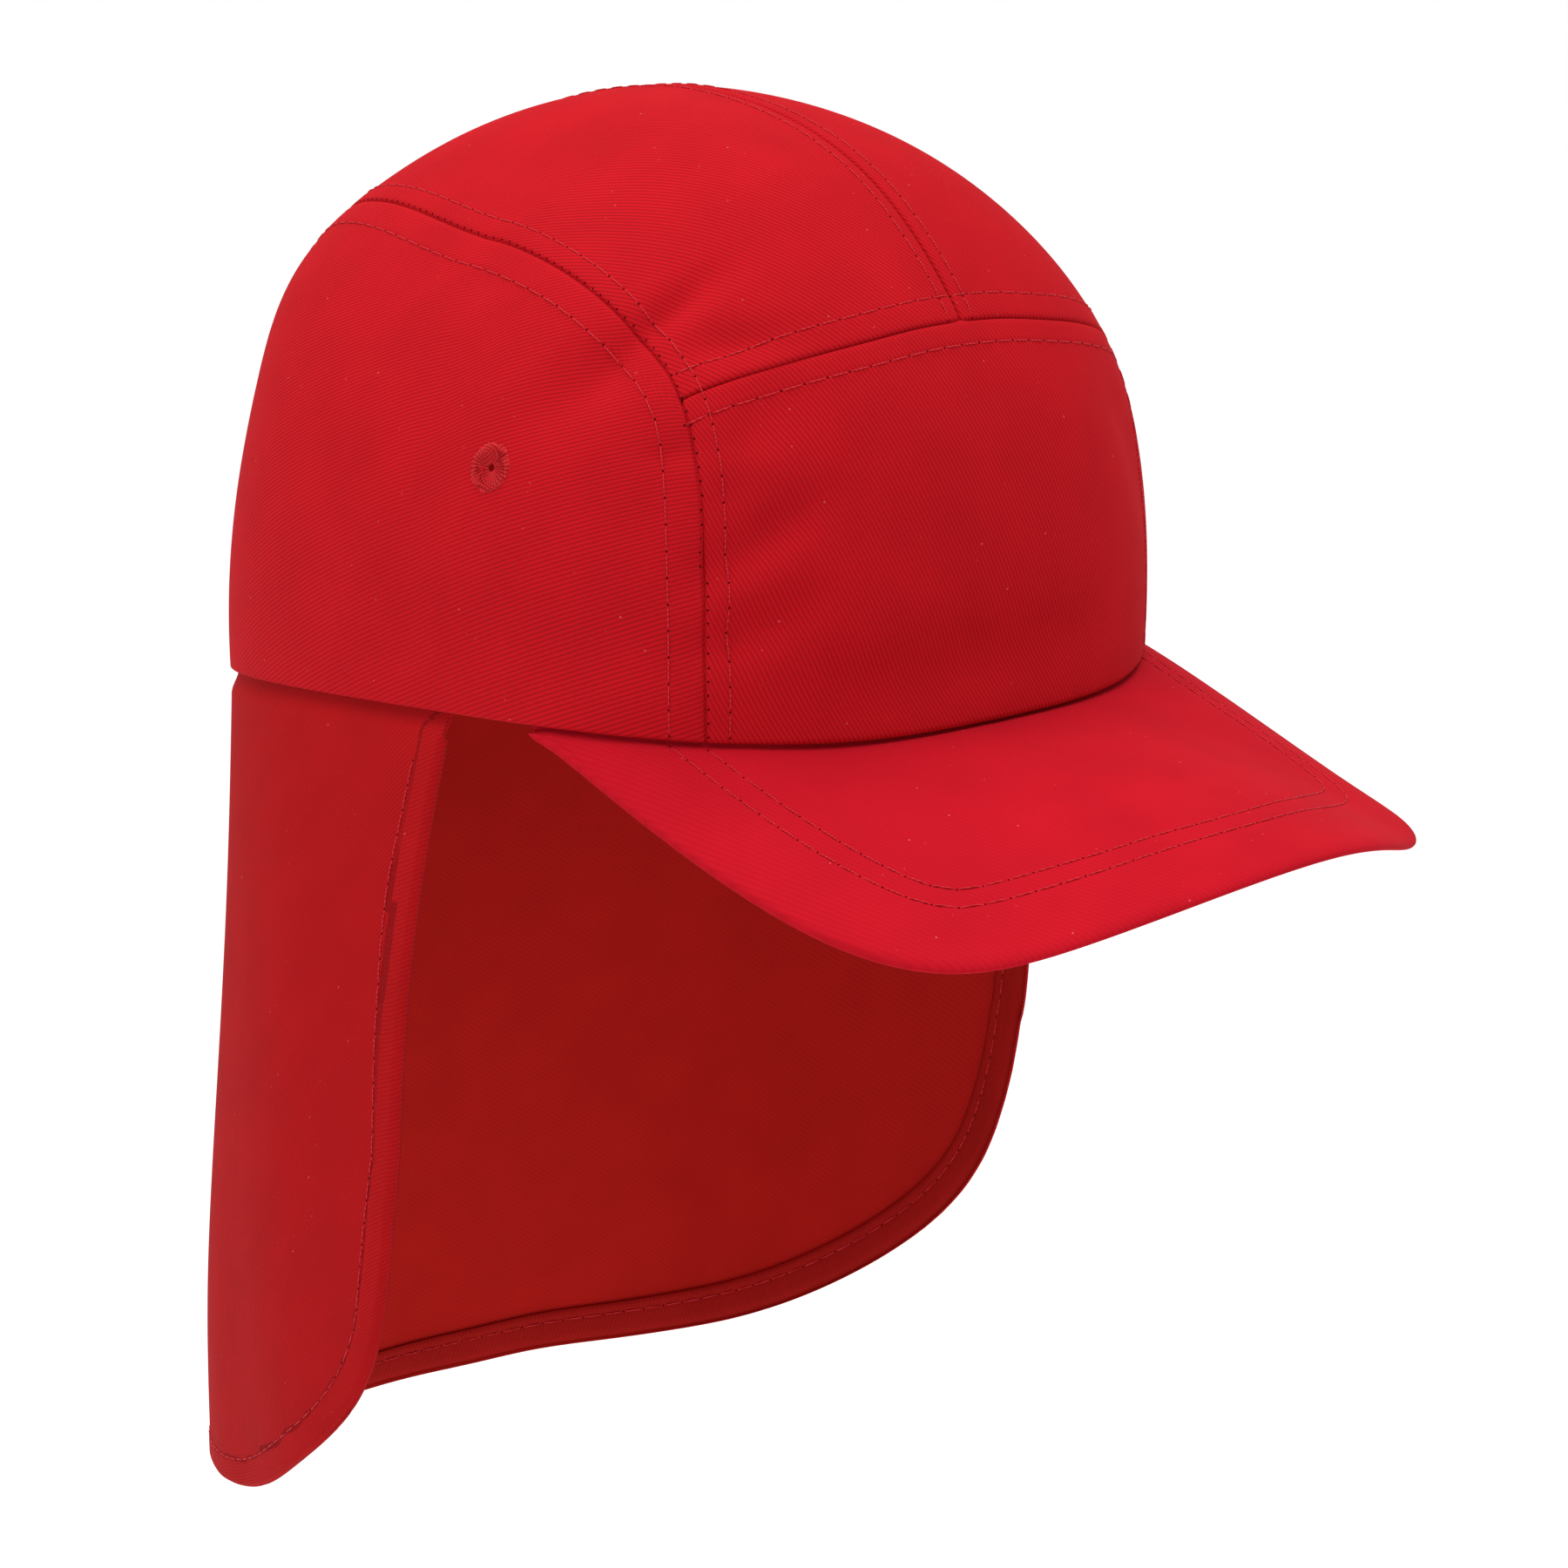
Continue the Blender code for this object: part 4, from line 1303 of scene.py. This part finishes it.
@dataclass
class NeckFlap:
    """The curtain over the neck and ears, hemmed along its free edge and hung from the rim."""

    shape: CapShape
    outer: bpy.types.Material
    inner: bpy.types.Material
    # the hem's face: the flap's own twill, coloured darker as painted shade on the turned-in band
    shaded_hem_face: bpy.types.Material
    depth: float = 197.0 * MM
    belly: float = 10.1 * MM
    swing: float = 29.4 * MM
    step: float = 0.6 * MM
    step_depth: float = 5.0 * MM
    lip: float = 0.5 * MM
    clearance: float = 0.8 * MM
    # how far below the rim the folded edge and its rows of stitches stop
    rim_gap: float = 0.3 * MM
    crown_cloth: float = 1.2 * MM
    cloth: float = 0.9 * MM
    hem_cloth: float = 0.75 * MM
    hem_stand: float = 1.05 * MM
    stitch_row: float = 6.4 * MM
    # the folded edge's roll, the hem's puff inside it and the channel of the stitches
    roll: float = 1.0 * MM
    roll_width: float = 1.3 * MM
    puff: float = 0.25 * MM
    channel: float = 0.25 * MM
    channel_width: float = 0.55 * MM
    # the same on the hem's own face, with the dip of its inner edge
    hem_roll: float = 0.9 * MM
    hem_channel: float = 0.2 * MM
    hem_edge: float = 0.35 * MM
    # the shares of the free edge where the rows of stitches start and end
    row_ends: tuple[float, float] = (0.012, 0.988)
    corner: int = 4
    # the free edge's turn and share of the depth
    edge_rows: tuple[tuple[float, float], ...] = (
        (85.6, 0.027), (87.8, 0.217), (90.0, 0.505), (91.8, 0.620), (98.2, 0.758),
        (121.7, 0.924), (146.0, 0.968), (180.0, 0.994),
    )
    # depth, then how far the sides and the back leave the rim's plan
    hang_rows: tuple[tuple[float, float, float], ...] = (
        (0.00, 0.000, 0.000), (0.25, 0.785, -0.067), (0.50, 1.000, 0.201),
        (0.75, 0.640, 0.641), (1.00, -0.196, 1.000),
    )
    # turn, half width in turn and height of each soft fold
    folds: tuple[tuple[float, float, float], ...] = (
        (-150.0, 9.0, 2.0 * MM), (-122.0, 8.0, -1.6 * MM),
        (128.0, 10.0, 2.2 * MM), (158.0, 9.0, -2.0 * MM), (-106.0, 7.0, 1.2 * MM),
    )
    wale_angle: float = 38.0
    hem_wale_angle: float = 6.0
    inside_wale_angle: float = 78.0
    # the hanging part's size and the spacing of its lines where nothing is sewn
    cut_width: float = 330.0 * MM
    cut_length: float = 190.0 * MM
    coarse_across: float = 2.4 * MM
    coarse_down: float = 2.6 * MM
    # where the lines of the tucked part and of its bend at the rim lie below the rim
    head_rows: tuple[float, ...] = (-6.0, -3.0, -1.0, 0.0, 0.5, 1.2, 2.0, 3.0, 4.0, 4.8)
    # distances from the free edge that the outer face and the hem need lines at
    edge_lines: tuple[float, ...] = (
        0.0, 0.4, 0.9, 1.5, 2.3, 3.4, 4.6, 5.4, 5.9, 6.3, 6.7, 7.2, 8.0, 9.2, 10.6,
    )
    hem_lines: tuple[float, ...] = (
        0.5, 0.7, 1.1, 1.8, 3.2, 4.8, 5.6, 6.1, 6.4, 6.7, 7.2, 7.9, 8.5, 8.8, 9.0,
    )

    def face(self, places: Places) -> Points:
        """The flap's outer face.

        Args:
            places: turns and heights.

        Returns:
            The points, tucked inside the crown above the rim and hung below it.
        """
        turns, heights = places[..., 0], places[..., 1]
        rim = self.shape.rim(turns)
        above = heights > rim
        rises = self.shape.crown_rise(turns, heights - rim)
        tucked = self.shape.crown(self.shape.place(turns, rises))
        inset = self.crown_cloth + self.clearance
        tucked[..., :2] -= unit(tucked[..., :2]) * inset
        deep = -heights / self.depth
        table = np.array(self.hang_rows)
        hang = Curve(table[:, 0], table[:, 1:]).at(np.maximum(deep, 0.0))
        flat = self.shape.plan(turns, self.belly * hang[..., 0], self.swing * hang[..., 1])
        settle = smooth(rim - heights, self.lip, self.step_depth)
        inset_here = inset * (1.0 - settle) + self.step * settle
        for turn, half_width, height in self.folds:
            away = (np.remainder(turns - turn + 180.0, 360.0) - 180.0) / half_width
            inset_here = inset_here - height * np.maximum(deep, 0.0) * np.exp(-away * away)
        hung = np.concatenate([flat - unit(flat) * inset_here[..., None], heights[..., None]],
                              axis=-1)
        return np.where(above[..., None], tucked, hung)

    def edge(self) -> Curve:
        """The free edge from its left end round to its right end, in turns and heights."""
        half = np.array(self.edge_rows)
        shares = np.vstack([half / (180.0, 1.0), half[-2::-1] * (-1.0 / 180.0, 1.0) + (2.0, 0.0)])
        return path(shares)

    def edge_places(self, share: np.ndarray, stretch: Optional[Edge] = None) -> Places:
        """Turns and heights along the free edge, or along one stretch of it."""
        rows = (stretch or self.edge().at)(share)
        return rows * (180.0, -self.depth)

    def grid(self) -> Places:
        """The hanging cloth's grid in turns and heights, from the stitch line at the rim down."""
        edge = self.edge()
        last = len(edge.keys) - 1
        left = edge.between(0, self.corner)
        right = edge.between(last, last - self.corner)
        low_edge = edge.between(self.corner, last - self.corner)
        near = tuple(line * MM for line in self.edge_lines)
        across = spread(self.cut_width, self.coarse_across, near, near)
        down = spread(self.cut_length, self.coarse_down, FOLD_LINES, near)
        u, d = across[None, :, None], down[:, None, None]
        first_turn, first_depth = self.edge_rows[0]
        turns = first_turn + (360.0 - 2.0 * first_turn) * across
        top = np.stack([turns, self.shape.rim(turns) - self.depth * first_depth], axis=-1)[None]
        bottom = self.edge_places(across, low_edge)[None]
        sides = (self.edge_places(down, left)[:, None] * (1.0 - u)
                 + self.edge_places(down, right)[:, None] * u)
        high = top[:, :1] * (1.0 - u) + top[:, -1:] * u
        low = bottom[:, :1] * (1.0 - u) + bottom[:, -1:] * u
        hung = sides + top * (1.0 - d) + bottom * d - (high * (1.0 - d) + low * d)
        heads = [np.stack([turns, self.shape.rim(turns) - drop * MM], axis=-1)
                 for drop in self.head_rows]
        return np.concatenate([np.stack(heads), hung])[::-1]

    def build(self) -> tuple[list[bpy.types.Object], list[Points], list[Points]]:
        """Cuts, hems and hangs the flap.

        Returns:
            The flap and its hem, then the stitch lines on the outer and on the inner face.
        """
        places = self.grid()
        points = self.face(places)
        line = self.face(self.edge_places(np.linspace(0.0, 1.0, 1600)))
        away = nearest_distances(points, line)
        normals = self.normal(places)
        below = smooth(self.shape.rim(places[..., 0]) - places[..., 1], 1.0 * MM, 4.0 * MM)
        height = self.puff * smooth(away, 0.0, 1.5 * MM) * (
            1.0 - smooth(away, self.stitch_row - 0.3 * MM, self.stitch_row + 1.2 * MM))
        height -= self.channel * swell(away, self.stitch_row, self.channel_width)
        height -= self.roll * (1.0 - smooth(away, 0.0, self.roll_width)) ** 2
        points = points + normals * (height * below)[..., None]
        cloth = np.where((away < self.stitch_row)[..., None],
                         cloth_map(points, self.hem_wale_angle),
                         cloth_map(points, self.wale_angle))
        flap = finish_cloth("neck_flap_cloth", points, cloth, [self.outer, self.inner],
                            self.cloth, normals=normals)
        hem, hem_points = self.build_hem()
        for piece, node in ((flap, "neck_flap"), (hem, "flap_hem")):
            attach(piece, "root")
            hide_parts(node)
        return [flap, hem], [self.beside(self.stitch_row, 0.0)], [
            self.beside(self.stitch_row, self.cloth + self.hem_stand)]

    def beside(self, distance: float, inset: float) -> Points:
        """A line on the flap at a distance from its free edge, and inset from its outer face."""
        reached = self.inside(np.linspace(*self.row_ends, 500), distance)
        return self.face(reached) - self.normal(reached) * inset

    def inside(self, shares: np.ndarray, distance: float) -> Places:
        """Places at a distance from the free edge, eased round its corners without crossing.

        Args:
            shares: where along the edge.
            distance: how far inside it.

        Returns:
            The places, one for each share.
        """
        places = self.edge_places(shares)
        points = self.face(places)
        along = unit(np.gradient(points, axis=0))
        steps = np.cross(self.normal(places), along) * distance / 3.0
        reached = places
        for _ in range(3):
            reached = self.walk(reached, steps)
        away = nearest_distances(self.face(reached), points)
        kept = away > 0.97 * distance
        return np.stack([np.interp(shares, shares[kept], reached[kept, i]) for i in range(2)],
                        axis=1)

    def ways(self, places: Places) -> tuple[Points, Points, Points, Points]:
        """Some points of the flap, the ways along a turn and up, and the outward direction."""
        point = self.face(places)
        by_turn = self.face(places + (1.0, 0.0)) - point
        by_height = point - self.face(places - (0.0, 1.0 * MM))
        return point, by_turn, by_height, unit(np.cross(by_turn, by_height))

    def normal(self, places: Places) -> np.ndarray:
        """The flap's outward direction at some places."""
        return self.ways(places)[3]

    def walk(self, places: Places, steps: np.ndarray) -> Places:
        """The places that small steps in space reach on the flap, kept below the rim."""
        basis = np.stack(self.ways(places)[1:], axis=-1)
        moved = np.linalg.solve(basis, steps[..., None])[..., 0]
        turns = places[..., 0] + moved[..., 0]
        heights = np.minimum(places[..., 1] + moved[..., 1] * MM,
                             self.shape.rim(turns) - self.rim_gap)
        return np.stack([turns, heights], axis=-1)

    def build_hem(self) -> tuple[bpy.types.Object, Points]:
        """Turns the hem in: a band of cloth along the free edge, on the inner face.

        Returns:
            The hem and its grid of points.
        """
        shares = np.linspace(0.0, 1.0, 420)
        rows = []
        for distance in np.array(self.hem_lines) * MM:
            reached = self.inside(shares, distance)
            off = self.cloth + self.hem_stand
            off -= self.hem_channel * swell(distance, self.stitch_row, 0.6 * MM)
            off -= self.hem_roll * (1.0 - smooth(distance, 0.4 * MM, 1.8 * MM))
            off -= self.hem_edge * smooth(distance, 8.3 * MM, 9.0 * MM)
            rows.append(self.face(reached) - self.normal(reached) * off)
        grid = np.stack(rows)[::-1]
        # the band's face takes the darker hem colour, which is painted shade
        hem = finish_cloth("flap_hem_band", grid, cloth_map(grid, self.inside_wale_angle),
                           [self.shaded_hem_face, self.inner], self.hem_cloth)
        return hem, grid


# ---- Studio ----


@dataclass
class Studio:
    """The paper, the soft lights and the camera at the photograph's angle, in degrees."""

    paper: bpy.types.Material
    azimuth: float = -45.395
    elevation: float = 11.32
    roll: float = -1.521
    pixels_per_mm: float = 5.518
    distance: float = 908.4 * MM
    shift_right: float = 14.306 * MM
    shift_up: float = -28.47 * MM
    picture_width: float = 1800.0
    sensor: float = 36.0
    floor_height: float = -0.42
    floor_size: float = 40.0
    # how far to the left, towards the camera and up the soft box hangs, then the overhead's place
    softbox_at: tuple[float, float, float] = (1.3, 0.35, 0.6)
    softbox_size: float = 1.1
    softbox_power: float = 2.6
    overhead_at: tuple[float, float, float] = (0.1, -0.1, 1.3)
    overhead_size: float = 1.2
    overhead_power: float = 6.5
    sun_energy: float = 0.62 * math.pi
    sun_angle: float = 70.0
    room_light: float = 0.5

    def directions(self) -> tuple[Vector, Vector, Vector]:
        """The camera's right, its up and the way back towards it."""
        a, e, r = (math.radians(x) for x in (self.azimuth, self.elevation, self.roll))
        back = Vector((math.sin(a) * math.cos(e), -math.cos(a) * math.cos(e), math.sin(e)))
        right = Vector((math.cos(a), math.sin(a), 0.0))
        up = back.cross(right)
        return (right * math.cos(r) + up * math.sin(r), up * math.cos(r) - right * math.sin(r),
                back)

    def build(self) -> None:
        """Sets up the paper, the lights and the camera."""
        right, up, back = self.directions()
        lens = bpy.data.cameras.new("camera")
        lens.sensor_width = self.sensor
        lens.lens = self.pixels_per_mm * self.distance / MM / self.picture_width * self.sensor
        lens.clip_end = 2.0 * self.floor_size
        camera = put("camera", lens)
        spot = back * self.distance + right * self.shift_right + up * self.shift_up
        camera.matrix_world = Matrix.Translation(spot) @ Matrix(
            (right, up, back)).transposed().to_4x4()
        bpy.context.scene.camera = camera
        self.lay_paper()
        self.sunlight(Vector((0.0, -0.12, 1.0)) - right * 0.16)
        left, towards, high = self.softbox_at
        spot = -right * left + back * towards + Vector((0.0, 0.0, high))
        self.light("left_softbox", spot, self.softbox_size, self.softbox_power)
        self.light("overhead", Vector(self.overhead_at), self.overhead_size, self.overhead_power)
        self.surround()

    def sunlight(self, direction: Vector) -> None:
        """Hangs one very wide soft light far above, which lights paper and cap alike."""
        lamp = bpy.data.lights.new("high_window", "SUN")
        lamp.energy = self.sun_energy
        lamp.angle = math.radians(self.sun_angle)
        put("high_window", lamp).matrix_world = facing(direction)

    def lay_paper(self) -> None:
        """Lays the pale floor."""
        sheet = bmesh.new()
        bmesh.ops.create_grid(sheet, x_segments=1, y_segments=1, size=self.floor_size)
        bmesh.ops.translate(sheet, verts=sheet.verts, vec=(0.0, 0.0, self.floor_height))
        floor = make_piece("floor", sheet, self.paper)

    def light(self, name: str, spot: Vector, size: float, power: float) -> None:
        """Hangs a square soft light that looks at the cap."""
        lamp = bpy.data.lights.new(name, "AREA")
        lamp.size = size
        lamp.energy = power
        put(name, lamp).matrix_world = Matrix.Translation(spot) @ facing(spot)

    def surround(self) -> None:
        """Fills the room with even white light."""
        world = bpy.data.worlds.new("studio")
        world.use_nodes = True
        sky = world.node_tree.nodes["Background"]
        sky.inputs["Color"].default_value = linear("#FFFFFF")
        sky.inputs["Strength"].default_value = self.room_light
        bpy.context.scene.world = world
        bpy.context.scene.view_settings.view_transform = "Standard"


# ---- The whole cap ----


@dataclass
class Cap:
    """The cap: its finishes and its sub-assemblies, built in a maker's order."""

    shape: CapShape = field(default_factory=CapShape)
    side_row: float = 7.0 * MM
    inner_side_row: float = 4.8 * MM
    front_rows: tuple[float, float] = (5.0 * MM, 5.5 * MM)
    centre_row: float = 4.5 * MM
    # how far inside the side seams the pricks of the joining seam show
    prick_row: float = 0.45 * MM
    # the wales' angles on each kind of panel
    front_wale: float = -62.0
    top_wale: float = 127.0
    side_wale: float = 22.5
    # how much deeper than the others these seams are drawn in, and how far the rim spreads
    front_sunk: float = 1.3
    centre_sunk: float = 1.6
    front_flare: float = 1.0 * MM

    def dress(self) -> dict[str, bpy.types.Material]:
        """Mixes every finish once."""
        finishes = (
            CottonTwill("cotton_twill_crown", wale="#C4131F", gap="#9E0F16"),
            CottonTwill("cotton_twill_crown_reverse", wale="#B01613", gap="#A41411",
                        wale_relief=0.02 * MM, lint=0.0),
            CottonTwill("cotton_twill_peak", wale="#BB1122", gap="#B20F1E", wale_relief=0.02 * MM),
            CottonTwill("cotton_twill_flap", wale="#B11216", gap="#960F14", wale_relief=0.04 * MM),
            CottonTwill("cotton_twill_flap_reverse", wale="#B31D18", gap="#AA1A16",
                        wale_relief=0.008 * MM, lint=0.0),
            # the hem is the flap's own cloth; its darker colour is painted shade
            CottonTwill("cotton_twill_hem", wale="#A01916", gap="#911512", wale_relief=0.04 * MM,
                        lint=0.0),
            SpunThread("polyester_topstitch_thread", "#AE1521", highlight="#D6303A"),
            SpunThread("polyester_eyelet_thread", "#A01119", highlight="#D62A30"),
            NeedleHole(),
            StudioPaper(),
        )
        return {finish.name: finish.material() for finish in finishes}

    def mirror(self, edge: Edge) -> Edge:
        """The same edge on the wearer's right."""
        return lambda share: edge(share) * FLAT_MIRROR

    def panels(self, finish: dict[str, bpy.types.Material]) -> list[CrownPanel]:
        """The five crown panels, each with its edges and rows of stitches."""
        shape = self.shape
        seam, front = shape.side_seam(), shape.front_seam()
        first_turn, last_turn = shape.side_seam_rows[0][0], shape.side_seam_rows[-1][0]
        last, middle = len(shape.side_seam_rows) - 1, len(shape.front_seam_rows) - 1
        below, above = self.front_rows
        rising = seam.between(0, shape.front_corner)
        look = {"outer": finish["cotton_twill_crown"],
                "inner": finish["cotton_twill_crown_reverse"]}
        made = [CrownPanel(
            "front_panel_cloth", "front_panel", shape,
            bottom=StitchedEdge(shape.rim_arc(-first_turn, first_turn), flare=self.front_flare),
            right=StitchedEdge(rising, self.inner_side_row),
            top=StitchedEdge(front.at, below, self.front_sunk),
            left=StitchedEdge(self.mirror(rising), self.inner_side_row),
            wale_angle=self.front_wale, **look)]
        over_ear = seam.between(shape.front_corner, shape.back_corner)
        for side in Side:
            made.append(CrownPanel(
                "top_panel_%s_cloth" % side.value, "top_panel_" + side.value, shape,
                bottom=StitchedEdge(front.between(middle, 2 * middle), above, self.front_sunk),
                right=StitchedEdge(seam.between(shape.front_corner, last), self.inner_side_row),
                top=StitchedEdge(shape.rim_arc(180.0, last_turn)),
                left=StitchedEdge(shape.centre_seam(), self.centre_row, self.centre_sunk),
                wale_angle=self.top_wale, side=side, **look))
            made.append(CrownPanel(
                "side_panel_%s_cloth" % side.value, "side_panel_" + side.value, shape,
                bottom=StitchedEdge(shape.rim_arc(first_turn, last_turn)),
                right=StitchedEdge(seam.between(last, shape.back_corner), self.side_row),
                top=StitchedEdge(over_ear, self.side_row),
                left=StitchedEdge(rising, self.side_row),
                wale_angle=self.side_wale, side=side, **look))
        return made

    def offset(self, line: Edge, distance: float, towards: float) -> Points:
        """A line on the crown at a distance from a seam.

        Args:
            line: the seam on the flat map.
            distance: how far away on the cloth.
            towards: 1 for the left of the seam's own way, -1 for its right.

        Returns:
            Its points on the crown.
        """
        shares = np.linspace(0.0, 1.0, 400)
        places = line(shares)
        along = line(np.minimum(shares + 0.002, 1.0)) - line(np.maximum(shares - 0.002, 0.0))
        normal = np.stack([-along[:, 1], along[:, 0]], axis=1) * towards
        for _ in range(3):
            places = places + self.shape.step(places, normal, distance / 3.0)
        # a line ends just short of the rim, where it would leave the crown
        return self.shape.crown(places[np.linalg.norm(places, axis=1) < 0.997])

    def stitch_lines(self) -> list[Points]:
        """All the rows of topstitching on the crown."""
        front, seam, centre = (self.shape.front_seam().at, self.shape.side_seam().at,
                               self.shape.centre_seam())
        below, above = self.front_rows
        lines = [self.offset(front, below, -1.0), self.offset(front, above, 1.0),
                 self.offset(centre, self.centre_row, -1.0),
                 self.offset(centre, self.centre_row, 1.0)]
        for row, towards in ((self.side_row, -1.0), (self.inner_side_row, 1.0)):
            line = self.offset(seam, row, towards)
            lines += [line, line * MIRROR]
        return lines

    def pricked_lines(self) -> tuple[Points, ...]:
        """The edges of the side seams, where the joining seam's pricks show."""
        line = self.offset(self.shape.side_seam().at, self.prick_row, 1.0)
        return line, line * MIRROR

    def build(self) -> dict[str, bpy.types.Material]:
        """Builds every piece of the cap and reports it.

        Returns:
            The finishes, by name.
        """
        finish = self.dress()
        eyelets = {side: Eyelet("eyelet_%s_thread" % side.value, self.shape,
                                finish["polyester_eyelet_thread"], side) for side in Side}
        cloths = []
        for panel in self.panels(finish):
            if panel.node.startswith("side_panel"):
                panel.eyelet = eyelets[panel.side].frame().translation
            cloths.append(panel.build())
            log.info("built %s", cloths[-1].name)
        for eyelet in eyelets.values():
            log.info("wound %s", eyelet.build().name)
        crown = self.surface(cloths)
        thread, hole = finish["polyester_topstitch_thread"], finish["needle_hole_shadow"]
        Topstitching("crown_topstitching", "crown_twill", thread, hole).build(
            self.stitch_lines(), crown, self.pricked_lines())
        peak, rows = Peak(self.shape, finish["cotton_twill_peak"]).build()
        Topstitching("peak_topstitching", "peak_twill", thread, hole).build(
            rows, self.surface([peak]))
        flap = NeckFlap(self.shape, finish["cotton_twill_flap"],
                        finish["cotton_twill_flap_reverse"], finish["cotton_twill_hem"])
        pieces, outer_rows, inner_rows = flap.build()
        Topstitching("hem_topstitching", "flap_twill", thread, hole).build(
            outer_rows, self.surface(pieces[:1]))
        Topstitching("hem_stitching_inside", "flap_twill", thread, hole).build(
            inner_rows, self.surface(pieces[1:]))
        log.info("sewed the peak and the neck flap")
        return finish

    @staticmethod
    def surface(pieces: list[bpy.types.Object]) -> BVHTree:
        """The outer faces of some pieces, to lay stitches on."""
        joined = bmesh.new()
        for piece in pieces:
            joined.from_mesh(piece.data)
        tree = BVHTree.FromBMesh(joined)
        joined.free()
        return tree


def main() -> None:
    """Builds the cap and the studio round it."""
    logging.basicConfig(level=logging.INFO, format="%(name)s: %(message)s")
    finish = Cap().build()
    Studio(finish["studio_paper"]).build()


if __name__ == "__main__":
    main()
